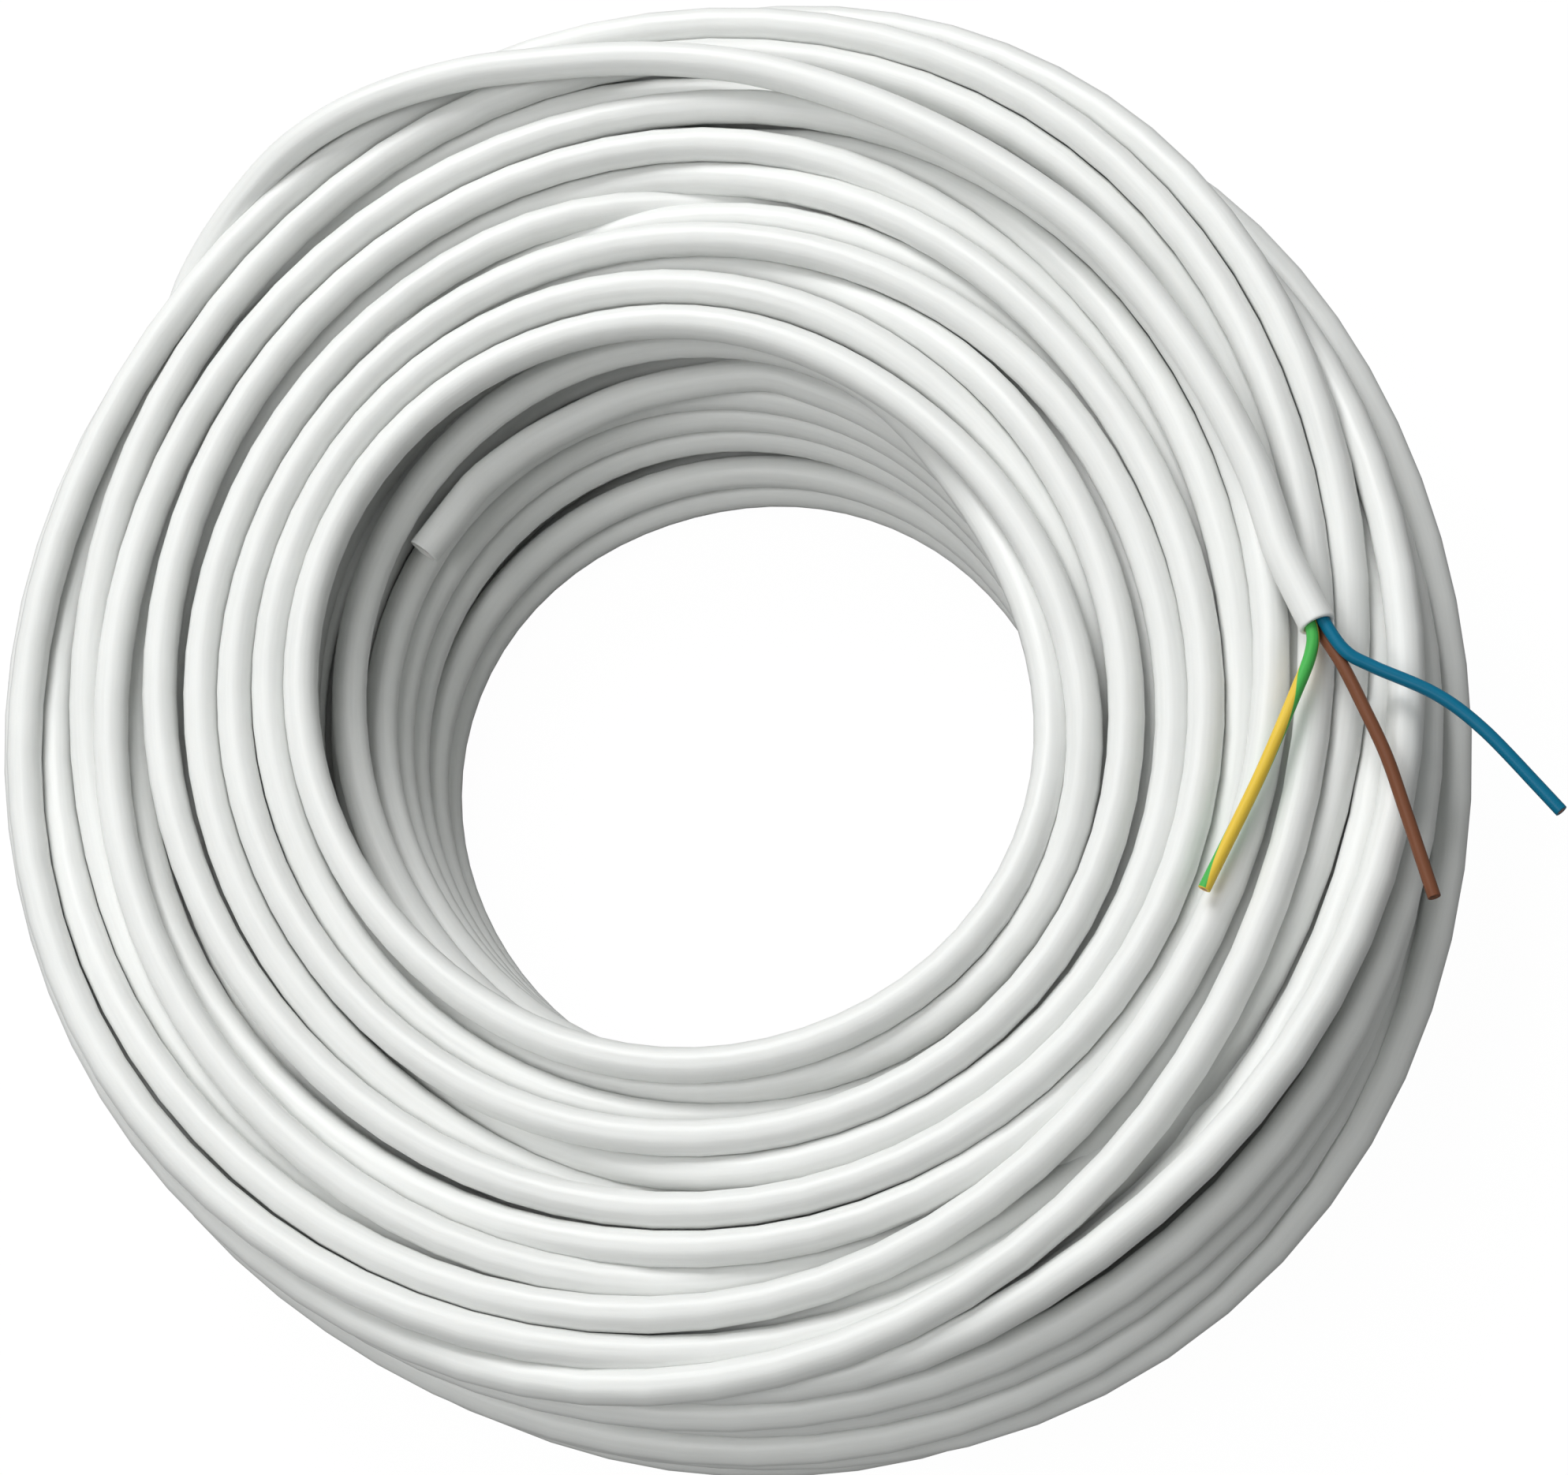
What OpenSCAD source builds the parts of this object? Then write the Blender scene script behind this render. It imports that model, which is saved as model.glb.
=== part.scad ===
// A ring of white three-core flexible cable, as it is sold for making up extension leads.
// One length is wound into a loose ring that lies flat. Its inner end is cut square and sits
// on the wall of the bore. Its outer end lies across the top, stripped back to the three cores.
// Units are millimetres. Z is up, and the origin is the middle of the ring on the surface below it.

/* [Cable] */
// Diameter over the sheath
cable_d = 6.5; // [6:0.1:6.8]
// Thickness of the sheath's wall
sheath_wall = 0.75; // [0.6:0.05:0.78]
// Diameter of one insulated core
core_d = 2.26; // [1.9:0.02:2.26]
// Diameter of the bundle of bare wires in a core
conductor_d = 1.24; // [1.24:0.02:1.4]
// Diameter of one bare wire
wire_d = 0.2; // [0.15:0.01:0.2]

/* [Ring] */
// Height to the top of the top layer of turns
coil_h = 61.8; // [58:0.5:70]
// Radius of the lowest turn round the bore, to the cable's middle
bore_r_low = 64; // [55:0.5:68]
// Radius of the highest turn round the bore, to the cable's middle
bore_r_high = 71.5; // [68:0.5:76]
// Largest radius of the outermost turns, to the cable's middle
outer_r = 134.4; // [130:0.5:150]
// How far the outer wall draws in at its top and bottom
wall_bulge = 2.6; // [0:0.2:4]
// How far the last turn on the top face stands in from the outermost turns
edge_inset = 10.9; // [10:0.1:13]
// Clear space between one turn and the next
turn_gap = 1; // [0.9:0.05:1.1]
// Height of the turn that the inner end belongs to
inner_end_z = 39; // [38:0.5:40]
// Height of the outermost turn where the outer end leaves it
outer_end_z = 41.5; // [36:0.5:44]

/* [Slump] */
// Way that the ring leans and is longest, counted from +X
slump_dir = 122; // [0:1:180]
// How far the top of the ring has slid over its foot
lean = 5.2; // [0:0.2:7]
// Half of the difference between the length and the width of the outer wall
outer_oval = 3.6; // [0:0.2:5]
// The same for the bore at its foot
bore_oval_low = 2.3; // [0:0.1:3]
// The same for the bore at its rim
bore_oval_high = 5.8; // [0:0.1:6.5]

/* [Ends] */
// Angle at which the winding starts, on the wall of the bore
inner_end_angle = 83; // [75:1:90]
// Angle at which the winding ends, on the outer wall
outer_end_angle = 173; // [165:1:178]
// Way that the outer end's mouth points, counted from +X
mouth_dir = 291; // [285:1:300]
// Way that the cut inner end points, counted from +X
inner_dir = 232; // [228:1:236]
// Straight length behind each cut face of the sheath, where the cores can be seen inside it
mouth_len = 14; // [10:1:16]
// How far the cores' faces stand back inside the cut inner end
core_setback = 0.6; // [0:0.1:1]
// Straight length at the tip of each stripped core
tip_len = 6; // [4:0.5:8]
// Share of the earth core's skin that is green
green_share = 0.5; // [0.3:0.05:0.7]
// Turns that the earth core's stripe makes along the stripped length
stripe_turns = 0.6; // [0:0.1:1]

/* [Fit] */
// Clear space where one piece lies on or in another
seat_gap = 0.3; // [0.2:0.05:0.4]
// Clear space between the cores, their wires and the sheath
core_gap = 0.03; // [0.02:0.01:0.03]
// How far a swept length stands inside the round end piece that it runs into, or short of its wires
skin_gap = 0.02; // [0.01:0.01:0.03]

/* [Hidden] */
$fn = 48;

WHITE = [0.90, 0.91, 0.91];
BLUE = [0.00, 0.40, 0.58];
BROWN = [0.45, 0.27, 0.19];
GREEN = [0.25, 0.65, 0.30];
YELLOW = [0.93, 0.78, 0.25];
COPPER = [0.80, 0.50, 0.32];

// Numbers of sides and steps of the swept tubes
COIL_SIDES = 6;
COIL_STEPS = 24;
TUBE_SIDES = 12;
CORE_SIDES = 8;
TUBE_STEP = 2.5;
CORE_RINGS = 3;
BODY_STEPS = 48;

cable_r = cable_d / 2;
bore_wall_r = cable_r - sheath_wall;
pitch = cable_d + turn_gap;
low_z = cable_r * cos(180 / COIL_SIDES);
top_z = coil_h - cable_r;
upper_z = inner_end_z + 0.9 * pitch;
shoulder_z = outer_end_z + pitch;
rest_z = coil_h + cable_r + seat_gap;

function mix(a, b, t) = a + (b - a) * t;
function unit(v) = v / norm(v);
function sum(v, i = 0) = i < len(v) ? v[i] + sum(v, i + 1) : 0;
function heading(a) = [cos(a), sin(a), 0];

top_edge_r = outer_r - edge_inset;

// ---- The ring's own shape: an upright ring, drawn longer one way and leaning the same way ----

function bore_r(z) = mix(bore_r_low, bore_r_high, (z - low_z) / (top_z - low_z));
function wall_r(z) = outer_r - wall_bulge * pow(2 * z / coil_h - 1, 2);

function oval(r, z) =
    let (bore_oval = mix(bore_oval_low, bore_oval_high, z / coil_h))
    mix(bore_oval, outer_oval, (r - bore_r(z)) / (wall_r(z) - bore_r(z)));

function place(a, r, z) =
    (r + oval(r, z) * cos(2 * (a - slump_dir))) * heading(a)
    + lean * z / coil_h * heading(slump_dir) + [0, 0, z];

// ---- The lay of the outer layer, in its cut through the ring: [radius, height] ----

// It starts part of the way up the bore and winds down to the foot. There it steps behind
// itself, climbs to where it started, and goes on over the rim and across the top to the
// shoulder. Behind the outer wall it drops to the foot again, and then winds up the wall.
step_turns = 0.2;
climb_turns = 0.8;
mid_z = coil_h / 2;
bevel = 0.75 * pitch;
BEVEL_ROOM = 1.2;
behind = [pitch, 0];

bore_start = [bore_r(inner_end_z), inner_end_z];
bore_foot = [bore_r(low_z), low_z];
bore_upper = [bore_r(upper_z), upper_z];
rim_low = [bore_r(top_z - bevel), top_z - bevel];
rim_top = [bore_r_high + bevel, top_z];
edge_top = [top_edge_r, top_z];
edge_low = [top_edge_r + bevel, top_z - bevel];
shoulder = [wall_r(shoulder_z) - 0.87 * cable_d, shoulder_z];
wall_foot = [wall_r(low_z), low_z];
wall_mid = [wall_r(mid_z), mid_z];
wall_end = [wall_r(outer_end_z), outer_end_z];

// Turns taken while the lay moves from one place to the next, side by side.
function beside(a, b, room = 1) = norm(b - a) / pitch / room;

IN_AND_OVER = [
    [0, bore_start],
    [beside(bore_start, bore_foot), bore_foot],
    [step_turns, bore_foot + behind],
    [climb_turns, bore_upper + behind],
    [step_turns, bore_upper],
    [beside(bore_upper, rim_low), rim_low],
    [beside(rim_low, rim_top, BEVEL_ROOM), rim_top],
    [beside(rim_top, edge_top), edge_top],
    [beside(edge_top, edge_low, BEVEL_ROOM), edge_low],
    [beside(edge_low, shoulder), shoulder]
];
UP_THE_WALL = [
    [step_turns, wall_foot],
    [beside(wall_foot, wall_mid), wall_mid],
    [beside(wall_mid, wall_end), wall_end]
];

// The drop behind the outer wall takes as long as brings the outer end to its angle.
laid_turns = sum([for (s = concat(IN_AND_OVER, UP_THE_WALL)) s[0]]) + climb_turns;
spare_turns = (inner_end_angle - outer_end_angle) / 360 - laid_turns;
drop_turns = climb_turns + spare_turns - floor(spare_turns);
LAY = concat(IN_AND_OVER, [[drop_turns, wall_foot - behind]], UP_THE_WALL);
TAKEN = [for (i = 0, t = 0; i < len(LAY); i = i + 1, t = t + (i < len(LAY) ? LAY[i][0] : 0)) t];
all_turns = TAKEN[len(TAKEN) - 1];

function stage(t, i = 0) = i < len(LAY) - 2 && t > TAKEN[i + 1] ? stage(t, i + 1) : i;

function lay(t) =
    let (i = stage(t), p = mix(LAY[i][1], LAY[i + 1][1], (t - TAKEN[i]) / LAY[i + 1][0]))
    place(inner_end_angle - 360 * t, p[0], p[1]);

whole_steps = ceil(all_turns * COIL_STEPS - 0.5);
WOUND = concat([for (i = [0 : whole_steps - 1]) lay(i / COIL_STEPS)], [lay(all_turns)]);

// The winding starts and ends with a straight piece, one diameter long.
start_way = unit(WOUND[0] - WOUND[1]);
end_way = unit(WOUND[whole_steps] - WOUND[whole_steps - 1]);
coil_start = WOUND[0] + start_way * cable_d;
coil_end = WOUND[whole_steps] + end_way * cable_d;
COIL = concat([coil_start], WOUND, [coil_end]);

// The least clear space from one turn to another: from each point of the winding to the
// pieces of every later turn that pass it.
function off_piece(p, a, b) =
    let (f = (p - a) * (b - a) / ((b - a) * (b - a)))
    norm(p - mix(a, b, max(0, min(1, f))));

NEAREST = [for (i = [0 : whole_steps], j = [i + COIL_STEPS : COIL_STEPS : whole_steps - 1])
    min(off_piece(WOUND[i], WOUND[j - 1], WOUND[j]), off_piece(WOUND[i], WOUND[j], WOUND[j + 1]))];
echo(turns = all_turns, rings = len(COIL), least_gap = min(NEAREST) - cable_d);

// ---- Swept skins ----

// Left and top directions square to a way of travel.
function side_of(way) = unit(cross([0, 0, 1], way));
function top_of(way) = cross(way, side_of(way));

// The way of travel at each point of a path.
function ways(p) = [for (i = [0 : len(p) - 1])
    unit(p[min(i + 1, len(p) - 1)] - p[max(i - 1, 0)])];

// A ring of points round one point of a path, from one angle to another.
function arc_at(c, way, r, from, to, steps) = [for (k = [0 : steps])
    let (a = mix(from, to, k / steps)) c + r * (cos(a) * side_of(way) + sin(a) * top_of(way))];

function round_at(c, way, r, sides) = [for (k = [0 : sides - 1])
    c + r * (cos(360 * k / sides) * side_of(way) + sin(360 * k / sides) * top_of(way))];

// A smooth curve through hand-set points, with pieces of one length or a little less.
function curve_point(p, i, f) =
    let (a = p[max(i - 1, 0)], b = p[i], c = p[i + 1], d = p[min(i + 2, len(p) - 1)])
    0.5 * (2 * b + (c - a) * f + (2 * a - 5 * b + 4 * c - d) * f * f
           + (3 * b - a - 3 * c + d) * f * f * f);

function curve(p, step) = concat(
    [for (i = [0 : len(p) - 2])
        let (n = ceil(norm(p[i + 1] - p[i]) / step))
        for (k = [0 : n - 1]) curve_point(p, i, k / n)],
    [p[len(p) - 1]]);

// A closed skin over rings of the same number of points, ring after ring. The caps are given
// as triangles of the first ring's points.
module skin(rings, cap) {
    n = len(rings[0]);
    last = (len(rings) - 1) * n;
    walls = [for (i = [0 : len(rings) - 2], k = [0 : n - 1], half = [0, 1])
        let (a = i * n + k, b = i * n + (k + 1) % n)
        half == 0 ? [a, a + n, b] : [b, a + n, b + n]];
    end = [for (f = cap) [last + f[0], last + f[2], last + f[1]]];
    polyhedron([for (ring = rings) each ring], concat(walls, cap, end));
}

function fan(n) = [for (k = [1 : n - 2]) [0, k, k + 1]];

// Caps of a ring that runs out along an arc and back along a smaller one.
function band(n) = [for (k = [0 : n / 2 - 2], half = [0, 1])
    half == 0 ? [k, k + 1, n - 1 - k] : [k + 1, n - 2 - k, n - 1 - k]];

module round_tube(path, r, sides) {
    way = ways(path);
    skin([for (i = [0 : len(path) - 1]) round_at(path[i], way[i], r, sides)], fan(sides));
}

// A part of a tube's wall, from one angle to another, turning steadily along the path.
module tube_wall(path, r, hole_r, from, to, twist) {
    way = ways(path);
    steps = CORE_SIDES * (to - from) / 360;
    skin([for (i = [0 : len(path) - 1])
        let (turn = twist * i / (len(path) - 1))
        concat(arc_at(path[i], way[i], r, from + turn, to + turn, steps),
               arc_at(path[i], way[i], hole_r, to + turn, from + turn, steps))],
        band(2 * (steps + 1)));
}

// A tube with a hole along it.
module pipe(path, r, hole_r, sides) {
    way = ways(path);
    rings = [for (i = [0 : len(path) - 1]) each
        [each round_at(path[i], way[i], r, sides), each round_at(path[i], way[i], hole_r, sides)]];
    n = 2 * sides;
    last = (len(path) - 1) * n;
    walls = [for (i = [0 : len(path) - 2], k = [0 : sides - 1])
        let (a = i * n + k, b = i * n + (k + 1) % sides, c = a + sides, d = b + sides)
        each [[a, a + n, b], [b, a + n, b + n], [c, d, c + n], [d, d + n, c + n]]];
    ends = [for (k = [0 : sides - 1])
        let (a = k, b = (k + 1) % sides, c = a + sides, d = b + sides)
        each [[a, b, d], [a, d, c], [last + a, last + d, last + b], [last + a, last + c, last + d]]];
    polyhedron(rings, concat(walls, ends));
}

// Moves what is drawn along +Z to a point, with +Z turned along a way of travel and +X to its left.
module along(at_point, way) {
    side = side_of(way);
    top = top_of(way);
    multmatrix([
        [side[0], top[0], way[0], at_point[0]],
        [side[1], top[1], way[1], at_point[1]],
        [side[2], top[2], way[2], at_point[2]]
    ])
        children();
}

// ---- Outer end: points over the shoulder and across the top ----
// Each is the angle, how far in from the outermost turns, and how far over or under a cable
// that rests on the top layer.

OUTER_ROUTE = [
    [158, -0.4, -22.2], [144, -0.3, -20], [140.2, -1, -16], [136.7, -2.2, -12.5],
    [131.7, -1.9, -7.5], [125.4, -1.5, -3], [120.1, -0.1, -1], [114.9, 2.4, 0],
    [109.4, 5.1, 0], [104.5, 7.9, 0], [94.2, 12.2, 0], [83.9, 15.3, 0], [73.6, 18.4, 0],
    [63.3, 20.3, 0], [53.1, 21.2, 0], [43, 21.4, 0], [32.9, 22.2, 0], [22.9, 22.3, 0],
    [13.1, 21.7, 0], [6.2, 21.3, 0]
];
mouth_way = heading(mouth_dir);
straight_from = place(3.5, outer_r - 20.7, rest_z);
mouth = straight_from + mouth_way * mouth_len;
OUTER_PATH = concat(curve(concat([coil_end, coil_end + end_way * cable_d],
    [for (p = OUTER_ROUTE) place(p[0], outer_r - p[1], rest_z + p[2])]), TUBE_STEP * cable_d),
    [straight_from]);

// ---- Inner end: points off the wall of the bore ----
// Each is the angle, how far in from the turn that the end belongs to, and how far over it.

INNER_ROUTE = [[101.9, 3.3, 0], [117.9, 4.5, 0.4], [127.7, 4.4, 0.9], [132.1, 4.3, 1.2]];
inner_way = heading(inner_dir);
inner_from = place(134.7, bore_r(inner_end_z) - 4.4, inner_end_z + 1.2);
INNER_PATH = concat(curve(concat([coil_start, coil_start + start_way * cable_d],
    [for (p = INNER_ROUTE) place(p[0], bore_r(inner_end_z) - p[1], inner_end_z + p[2])]),
    TUBE_STEP * cable_d), [inner_from]);

// ---- Cores: where they lie in the sheath, and how they fan out past its mouth ----

core_r = core_d / 2;
lay_r = (core_d + 2 * core_gap) / sqrt(3);
hole_r = conductor_d / 2 + core_gap;

// Angles of the cores about the cable's middle, seen along the way out.
BLUE_AT = 30;
EARTH_AT = 150;
BROWN_AT = 270;

function core_offset(way, at_angle) =
    lay_r * (cos(at_angle) * side_of(way) + sin(at_angle) * top_of(way));

// Points past the mouth: how far along the sheath's way, how far to its left, how far up.
BLUE_FAN = [[6.6, 2.2, 0.3], [11.1, 5.3, -0.3], [20.2, 12.8, -0.9], [29.3, 17.3, -1.5], [42.3, 21.2, -2]];
BROWN_FAN = [[7.8, 0.8, -1.1], [17, 0.9, -1], [26.7, 0.7, -1], [37, -0.5, -1], [47.3, -1.8, -1]];
EARTH_FAN = [[4.5, -3.3, 0.4], [10.4, -9.1, 0], [21, -20.2, -0.4], [31.5, -32.3, -0.8]];

// A stripped core's path: straight through the mouth, then out along its fan to its tip.
function fan_path(at_angle, fan_points) = curve(concat(
    [for (back = [mouth_len, mouth_len / 2, 0]) mouth - mouth_way * back + core_offset(mouth_way, at_angle)],
    [for (f = fan_points)
        mouth + mouth_way * f[0] + side_of(mouth_way) * f[1] + [0, 0, f[2]]]
    ), CORE_RINGS * core_d);

function tip_way(path) = unit(path[len(path) - 1] - path[len(path) - 2]);
function tip_point(path) = path[len(path) - 1];

BLUE_PATH = fan_path(BLUE_AT, BLUE_FAN);
BROWN_PATH = fan_path(BROWN_AT, BROWN_FAN);
EARTH_PATH = fan_path(EARTH_AT, EARTH_FAN);

// ---- Pieces ----

// A round wall, or one side of it, that reaches back by its root into the length before it
module wall_ring(r, inner_r, length, from, to, root = 0) {
    rotate_extrude(angle = to - from, start = from)
        translate([inner_r, -root])
            square([r - inner_r, length + root]);
}

// The cut end of the sheath, straight and open
module sheath_mouth(at_point, way) {
    along(at_point, way)
        difference() {
            cylinder(r = cable_r, h = mouth_len);
            translate([0, 0, -1]) cylinder(r = bore_wall_r, h = mouth_len + 2);
        }
}

// Wires of one conductor, ring by ring from the middle: how many, and their share of the radius
WIRE_RINGS = [[2, 0.2], [8, 0.6], [14, 1]];
module wires(length) {
    for (ring = WIRE_RINGS, k = [0 : ring[0] - 1])
        rotate([0, 0, 360 * k / ring[0]])
            translate([ring[1] * (conductor_d - wire_d) / 2, 0, skin_gap])
                cylinder(d = wire_d, h = length - skin_gap, $fn = 16);
}

module sheath_coil_turns() {
    way = ways(COIL);
    color(WHITE)
        skin([for (i = [0 : len(COIL) - 1]) round_at(COIL[i], way[i], cable_r, COIL_SIDES)],
             fan(COIL_SIDES));
}

// The turns inside the ring, drawn as one plain body that the outer layer lies on
module sheath_inner_turns() {
    inset = pitch + cable_r + seat_gap;
    foot_h = cable_r;
    body_top = top_z - cable_r - seat_gap;
    edge_z = shoulder_z - pitch / 2;
    foot_in = bore_r(foot_h) + bore_oval_low + lean * foot_h / coil_h + inset;
    foot_out = wall_r(foot_h) - outer_oval - lean * foot_h / coil_h - inset;
    profile = [
        [bore_r(foot_h) + inset, foot_h], [bore_r(upper_z) + inset, upper_z],
        [bore_r(body_top) + cable_d, body_top], [top_edge_r - cable_r, body_top],
        [wall_r(edge_z) - inset, edge_z], [wall_r(mid_z) - inset, mid_z],
        [wall_r(foot_h) - inset, foot_h]
    ];
    n = len(profile);
    color(WHITE) {
        rotate_extrude() translate([foot_in, 0]) square([foot_out - foot_in, foot_h]);
        polyhedron(
            [for (i = [0 : BODY_STEPS - 1], p = profile) place(360 * i / BODY_STEPS, p[0], p[1])],
            [for (i = [0 : BODY_STEPS - 1], k = [0 : n - 1], half = [0, 1])
                let (j = (i + 1) % BODY_STEPS, m = (k + 1) % n)
                half == 0 ? [i * n + k, j * n + k, i * n + m] : [j * n + k, j * n + m, i * n + m]]);
    }
}

module sheath_outer_end() {
    color(WHITE) {
        round_tube(OUTER_PATH, cable_r - skin_gap, TUBE_SIDES);
        sheath_mouth(straight_from, mouth_way);
    }
}

module sheath_inner_end() {
    color(WHITE) {
        round_tube(INNER_PATH, cable_r - skin_gap, TUBE_SIDES);
        sheath_mouth(inner_from, inner_way);
    }
}

// A stripped core of one colour
module core(path) {
    pipe(path, core_r - skin_gap, hole_r + skin_gap, CORE_SIDES);
    along(tip_point(path), tip_way(path)) wall_ring(core_r, hole_r, tip_len, 0, 360, wire_d);
}

// One colour of the stripped earth core
module core_stripe(path, from, to) {
    twist = 360 * stripe_turns;
    tube_wall(path, core_r - skin_gap, hole_r + skin_gap, from, to, twist);
    along(tip_point(path), tip_way(path))
        wall_ring(core_r, hole_r, tip_len, from + twist, to + twist, wire_d);
}

module conductor(path) {
    round_tube(path, conductor_d / 2, CORE_SIDES);
    along(tip_point(path), tip_way(path)) wires(tip_len);
}

// A short piece of core inside the cut inner end
module core_stub(at_angle, from, to) {
    along(inner_from + core_offset(inner_way, at_angle), inner_way)
        wall_ring(core_r, hole_r, mouth_len - core_setback, from, to);
}

module conductor_stub(at_angle) {
    along(inner_from + core_offset(inner_way, at_angle), inner_way)
        wires(mouth_len - core_setback);
}

green_angle = 360 * green_share;

module blue_core() { color(BLUE) core(BLUE_PATH); }
module brown_core() { color(BROWN) core(BROWN_PATH); }
module earth_core_green() { color(GREEN) core_stripe(EARTH_PATH, 0, green_angle); }
module earth_core_yellow() { color(YELLOW) core_stripe(EARTH_PATH, green_angle, 360); }
module blue_conductor() { color(COPPER) conductor(BLUE_PATH); }
module brown_conductor() { color(COPPER) conductor(BROWN_PATH); }
module earth_conductor() { color(COPPER) conductor(EARTH_PATH); }
module blue_core_inner_end() { color(BLUE) core_stub(BLUE_AT, 0, 360); }
module brown_core_inner_end() { color(BROWN) core_stub(BROWN_AT, 0, 360); }
module earth_core_inner_end_green() { color(GREEN) core_stub(EARTH_AT, 0, green_angle); }
module earth_core_inner_end_yellow() { color(YELLOW) core_stub(EARTH_AT, green_angle, 360); }
module blue_conductor_inner_end() { color(COPPER) conductor_stub(BLUE_AT); }
module brown_conductor_inner_end() { color(COPPER) conductor_stub(BROWN_AT); }
module earth_conductor_inner_end() { color(COPPER) conductor_stub(EARTH_AT); }

sheath_coil_turns();
sheath_inner_turns();
sheath_outer_end();
sheath_inner_end();
blue_core();
brown_core();
earth_core_green();
earth_core_yellow();
blue_conductor();
brown_conductor();
earth_conductor();
blue_core_inner_end();
brown_core_inner_end();
earth_core_inner_end_green();
earth_core_inner_end_yellow();
blue_conductor_inner_end();
brown_conductor_inner_end();
earth_conductor_inner_end();
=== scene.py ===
# %% [markdown]
# # A ring of three-core cable
# One length of white flexible cable is wound into a loose ring that lies flat. Its inner end sits
# on the wall of the bore, and its outer end lies across the top, stripped back to three coloured
# cores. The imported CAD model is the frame: every piece made here rides on it, in metres.

# %% Frame
import math

import bpy
import numpy as np
from mathutils import Matrix, Vector


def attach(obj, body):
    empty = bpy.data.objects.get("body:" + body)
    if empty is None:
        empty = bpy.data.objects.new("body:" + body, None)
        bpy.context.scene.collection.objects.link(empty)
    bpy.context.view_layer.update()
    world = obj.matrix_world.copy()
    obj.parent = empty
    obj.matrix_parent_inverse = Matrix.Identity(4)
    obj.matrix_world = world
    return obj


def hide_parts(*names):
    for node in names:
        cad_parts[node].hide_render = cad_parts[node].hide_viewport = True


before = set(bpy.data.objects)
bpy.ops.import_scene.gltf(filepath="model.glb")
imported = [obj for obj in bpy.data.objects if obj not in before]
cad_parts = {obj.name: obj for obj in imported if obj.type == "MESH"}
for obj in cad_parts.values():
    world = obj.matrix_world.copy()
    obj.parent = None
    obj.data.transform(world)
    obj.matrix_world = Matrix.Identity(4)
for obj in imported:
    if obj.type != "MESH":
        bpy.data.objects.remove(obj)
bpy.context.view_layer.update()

MM = 0.001
rng = np.random.default_rng(3)

# %% [markdown]
# ## Camera
# The view looks down on the ring from a little in front of it, far enough away that the near and
# far strands are nearly the same width. A constraint could aim the camera, but two plain
# directions say its slant and its roll in one place. It is set up first, so that every later
# piece can be rendered as soon as it is there.

# %% Camera
CAMERA_BACK = Vector((0.2155, -0.3449, 0.9135)).normalized()
CAMERA_RIGHT = Vector((0.9733, 0.0, -0.2296)).normalized()
CAMERA_UP = CAMERA_BACK.cross(CAMERA_RIGHT).normalized()
CAMERA_AWAY = 0.714

camera_data = bpy.data.cameras.new("camera")
camera_data.sensor_width = 36
camera_data.lens = 83.59
camera_data.shift_x = 0.0109
camera_data.shift_y = 0.0366
camera_data.clip_end = 20
camera = bpy.data.objects.new("camera", camera_data)
bpy.context.scene.collection.objects.link(camera)
turned = Matrix((CAMERA_UP.cross(CAMERA_BACK), CAMERA_UP, CAMERA_BACK)).transposed().to_4x4()
camera.matrix_world = Matrix.Translation(CAMERA_BACK * CAMERA_AWAY) @ turned
bpy.context.scene.camera = camera
print("camera at", [round(part, 3) for part in CAMERA_BACK * CAMERA_AWAY])

# %% [markdown]
# ## The ring's own shape
# The winding fills an upright ring that is drawn a little longer one way and leans the same way.
# Everything that belongs to the ring is placed by an angle, a radius and a height, and one
# function bends those into place, so that all turns share the same slump. Scaling a round ring
# would be shorter, but the bore and the wall aren't drawn out by the same amount.

# %% Ring
# The cable, the wall of its sheath, and the gap under an end that lies on other turns
CABLE_D = 0.0065
CABLE_R = CABLE_D / 2
SHEATH_WALL = 0.00075
SEAT_GAP = 0.0003
# The winding's height, and where the middles of its lowest, top and overlying strands are
COIL_H = 0.0618
LOW_Z = CABLE_R
TOP_Z = COIL_H - CABLE_R
REST_Z = COIL_H + CABLE_R + SEAT_GAP
# Radii to the middles of the outermost and innermost strands
OUTER_R = 0.1344
WALL_ROUNDING = 0.0026
BORE_FOOT_R = 0.064
BORE_WIDENS = 0.0075
# Heights at which the two ends leave the winding
INNER_END_Z = 0.039
OUTER_END_Z = 0.0415
# The way in which the ring has slumped, and how far its top leans that way
SLUMP = math.radians(122)
LEAN = 0.0052
# How far the slump draws out the bore's foot, how much more its rim, and how far the wall
FOOT_STRETCH = 0.0023
RIM_STRETCH = 0.0035
WALL_STRETCH = 0.0036


def bore_r(z):
    """Radius of the bore's innermost strand: the bore widens upward."""
    return BORE_FOOT_R + BORE_WIDENS * (z - LOW_Z) / (TOP_Z - LOW_Z)


def wall_r(z):
    """Radius of the wall's outermost strand: the wall is rounded off above and below."""
    return OUTER_R - WALL_ROUNDING * (2 * z / COIL_H - 1) ** 2


def place(angle, r, z):
    """Points of the ring in the frame, from angles in degrees, radii and heights."""
    a = np.radians(angle)
    at_bore = FOOT_STRETCH + RIM_STRETCH * z / COIL_H
    share = (r - bore_r(z)) / (wall_r(z) - bore_r(z))
    r = r + (at_bore + (WALL_STRETCH - at_bore) * share) * np.cos(2 * (a - SLUMP))
    slid = LEAN * z / COIL_H
    return np.stack([r * np.cos(a) + slid * math.cos(SLUMP),
                     r * np.sin(a) + slid * math.sin(SLUMP), z + 0 * r], -1)


print("bore", bore_r(LOW_Z), "to", bore_r(TOP_Z), "wall", wall_r(COIL_H / 2))

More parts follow.
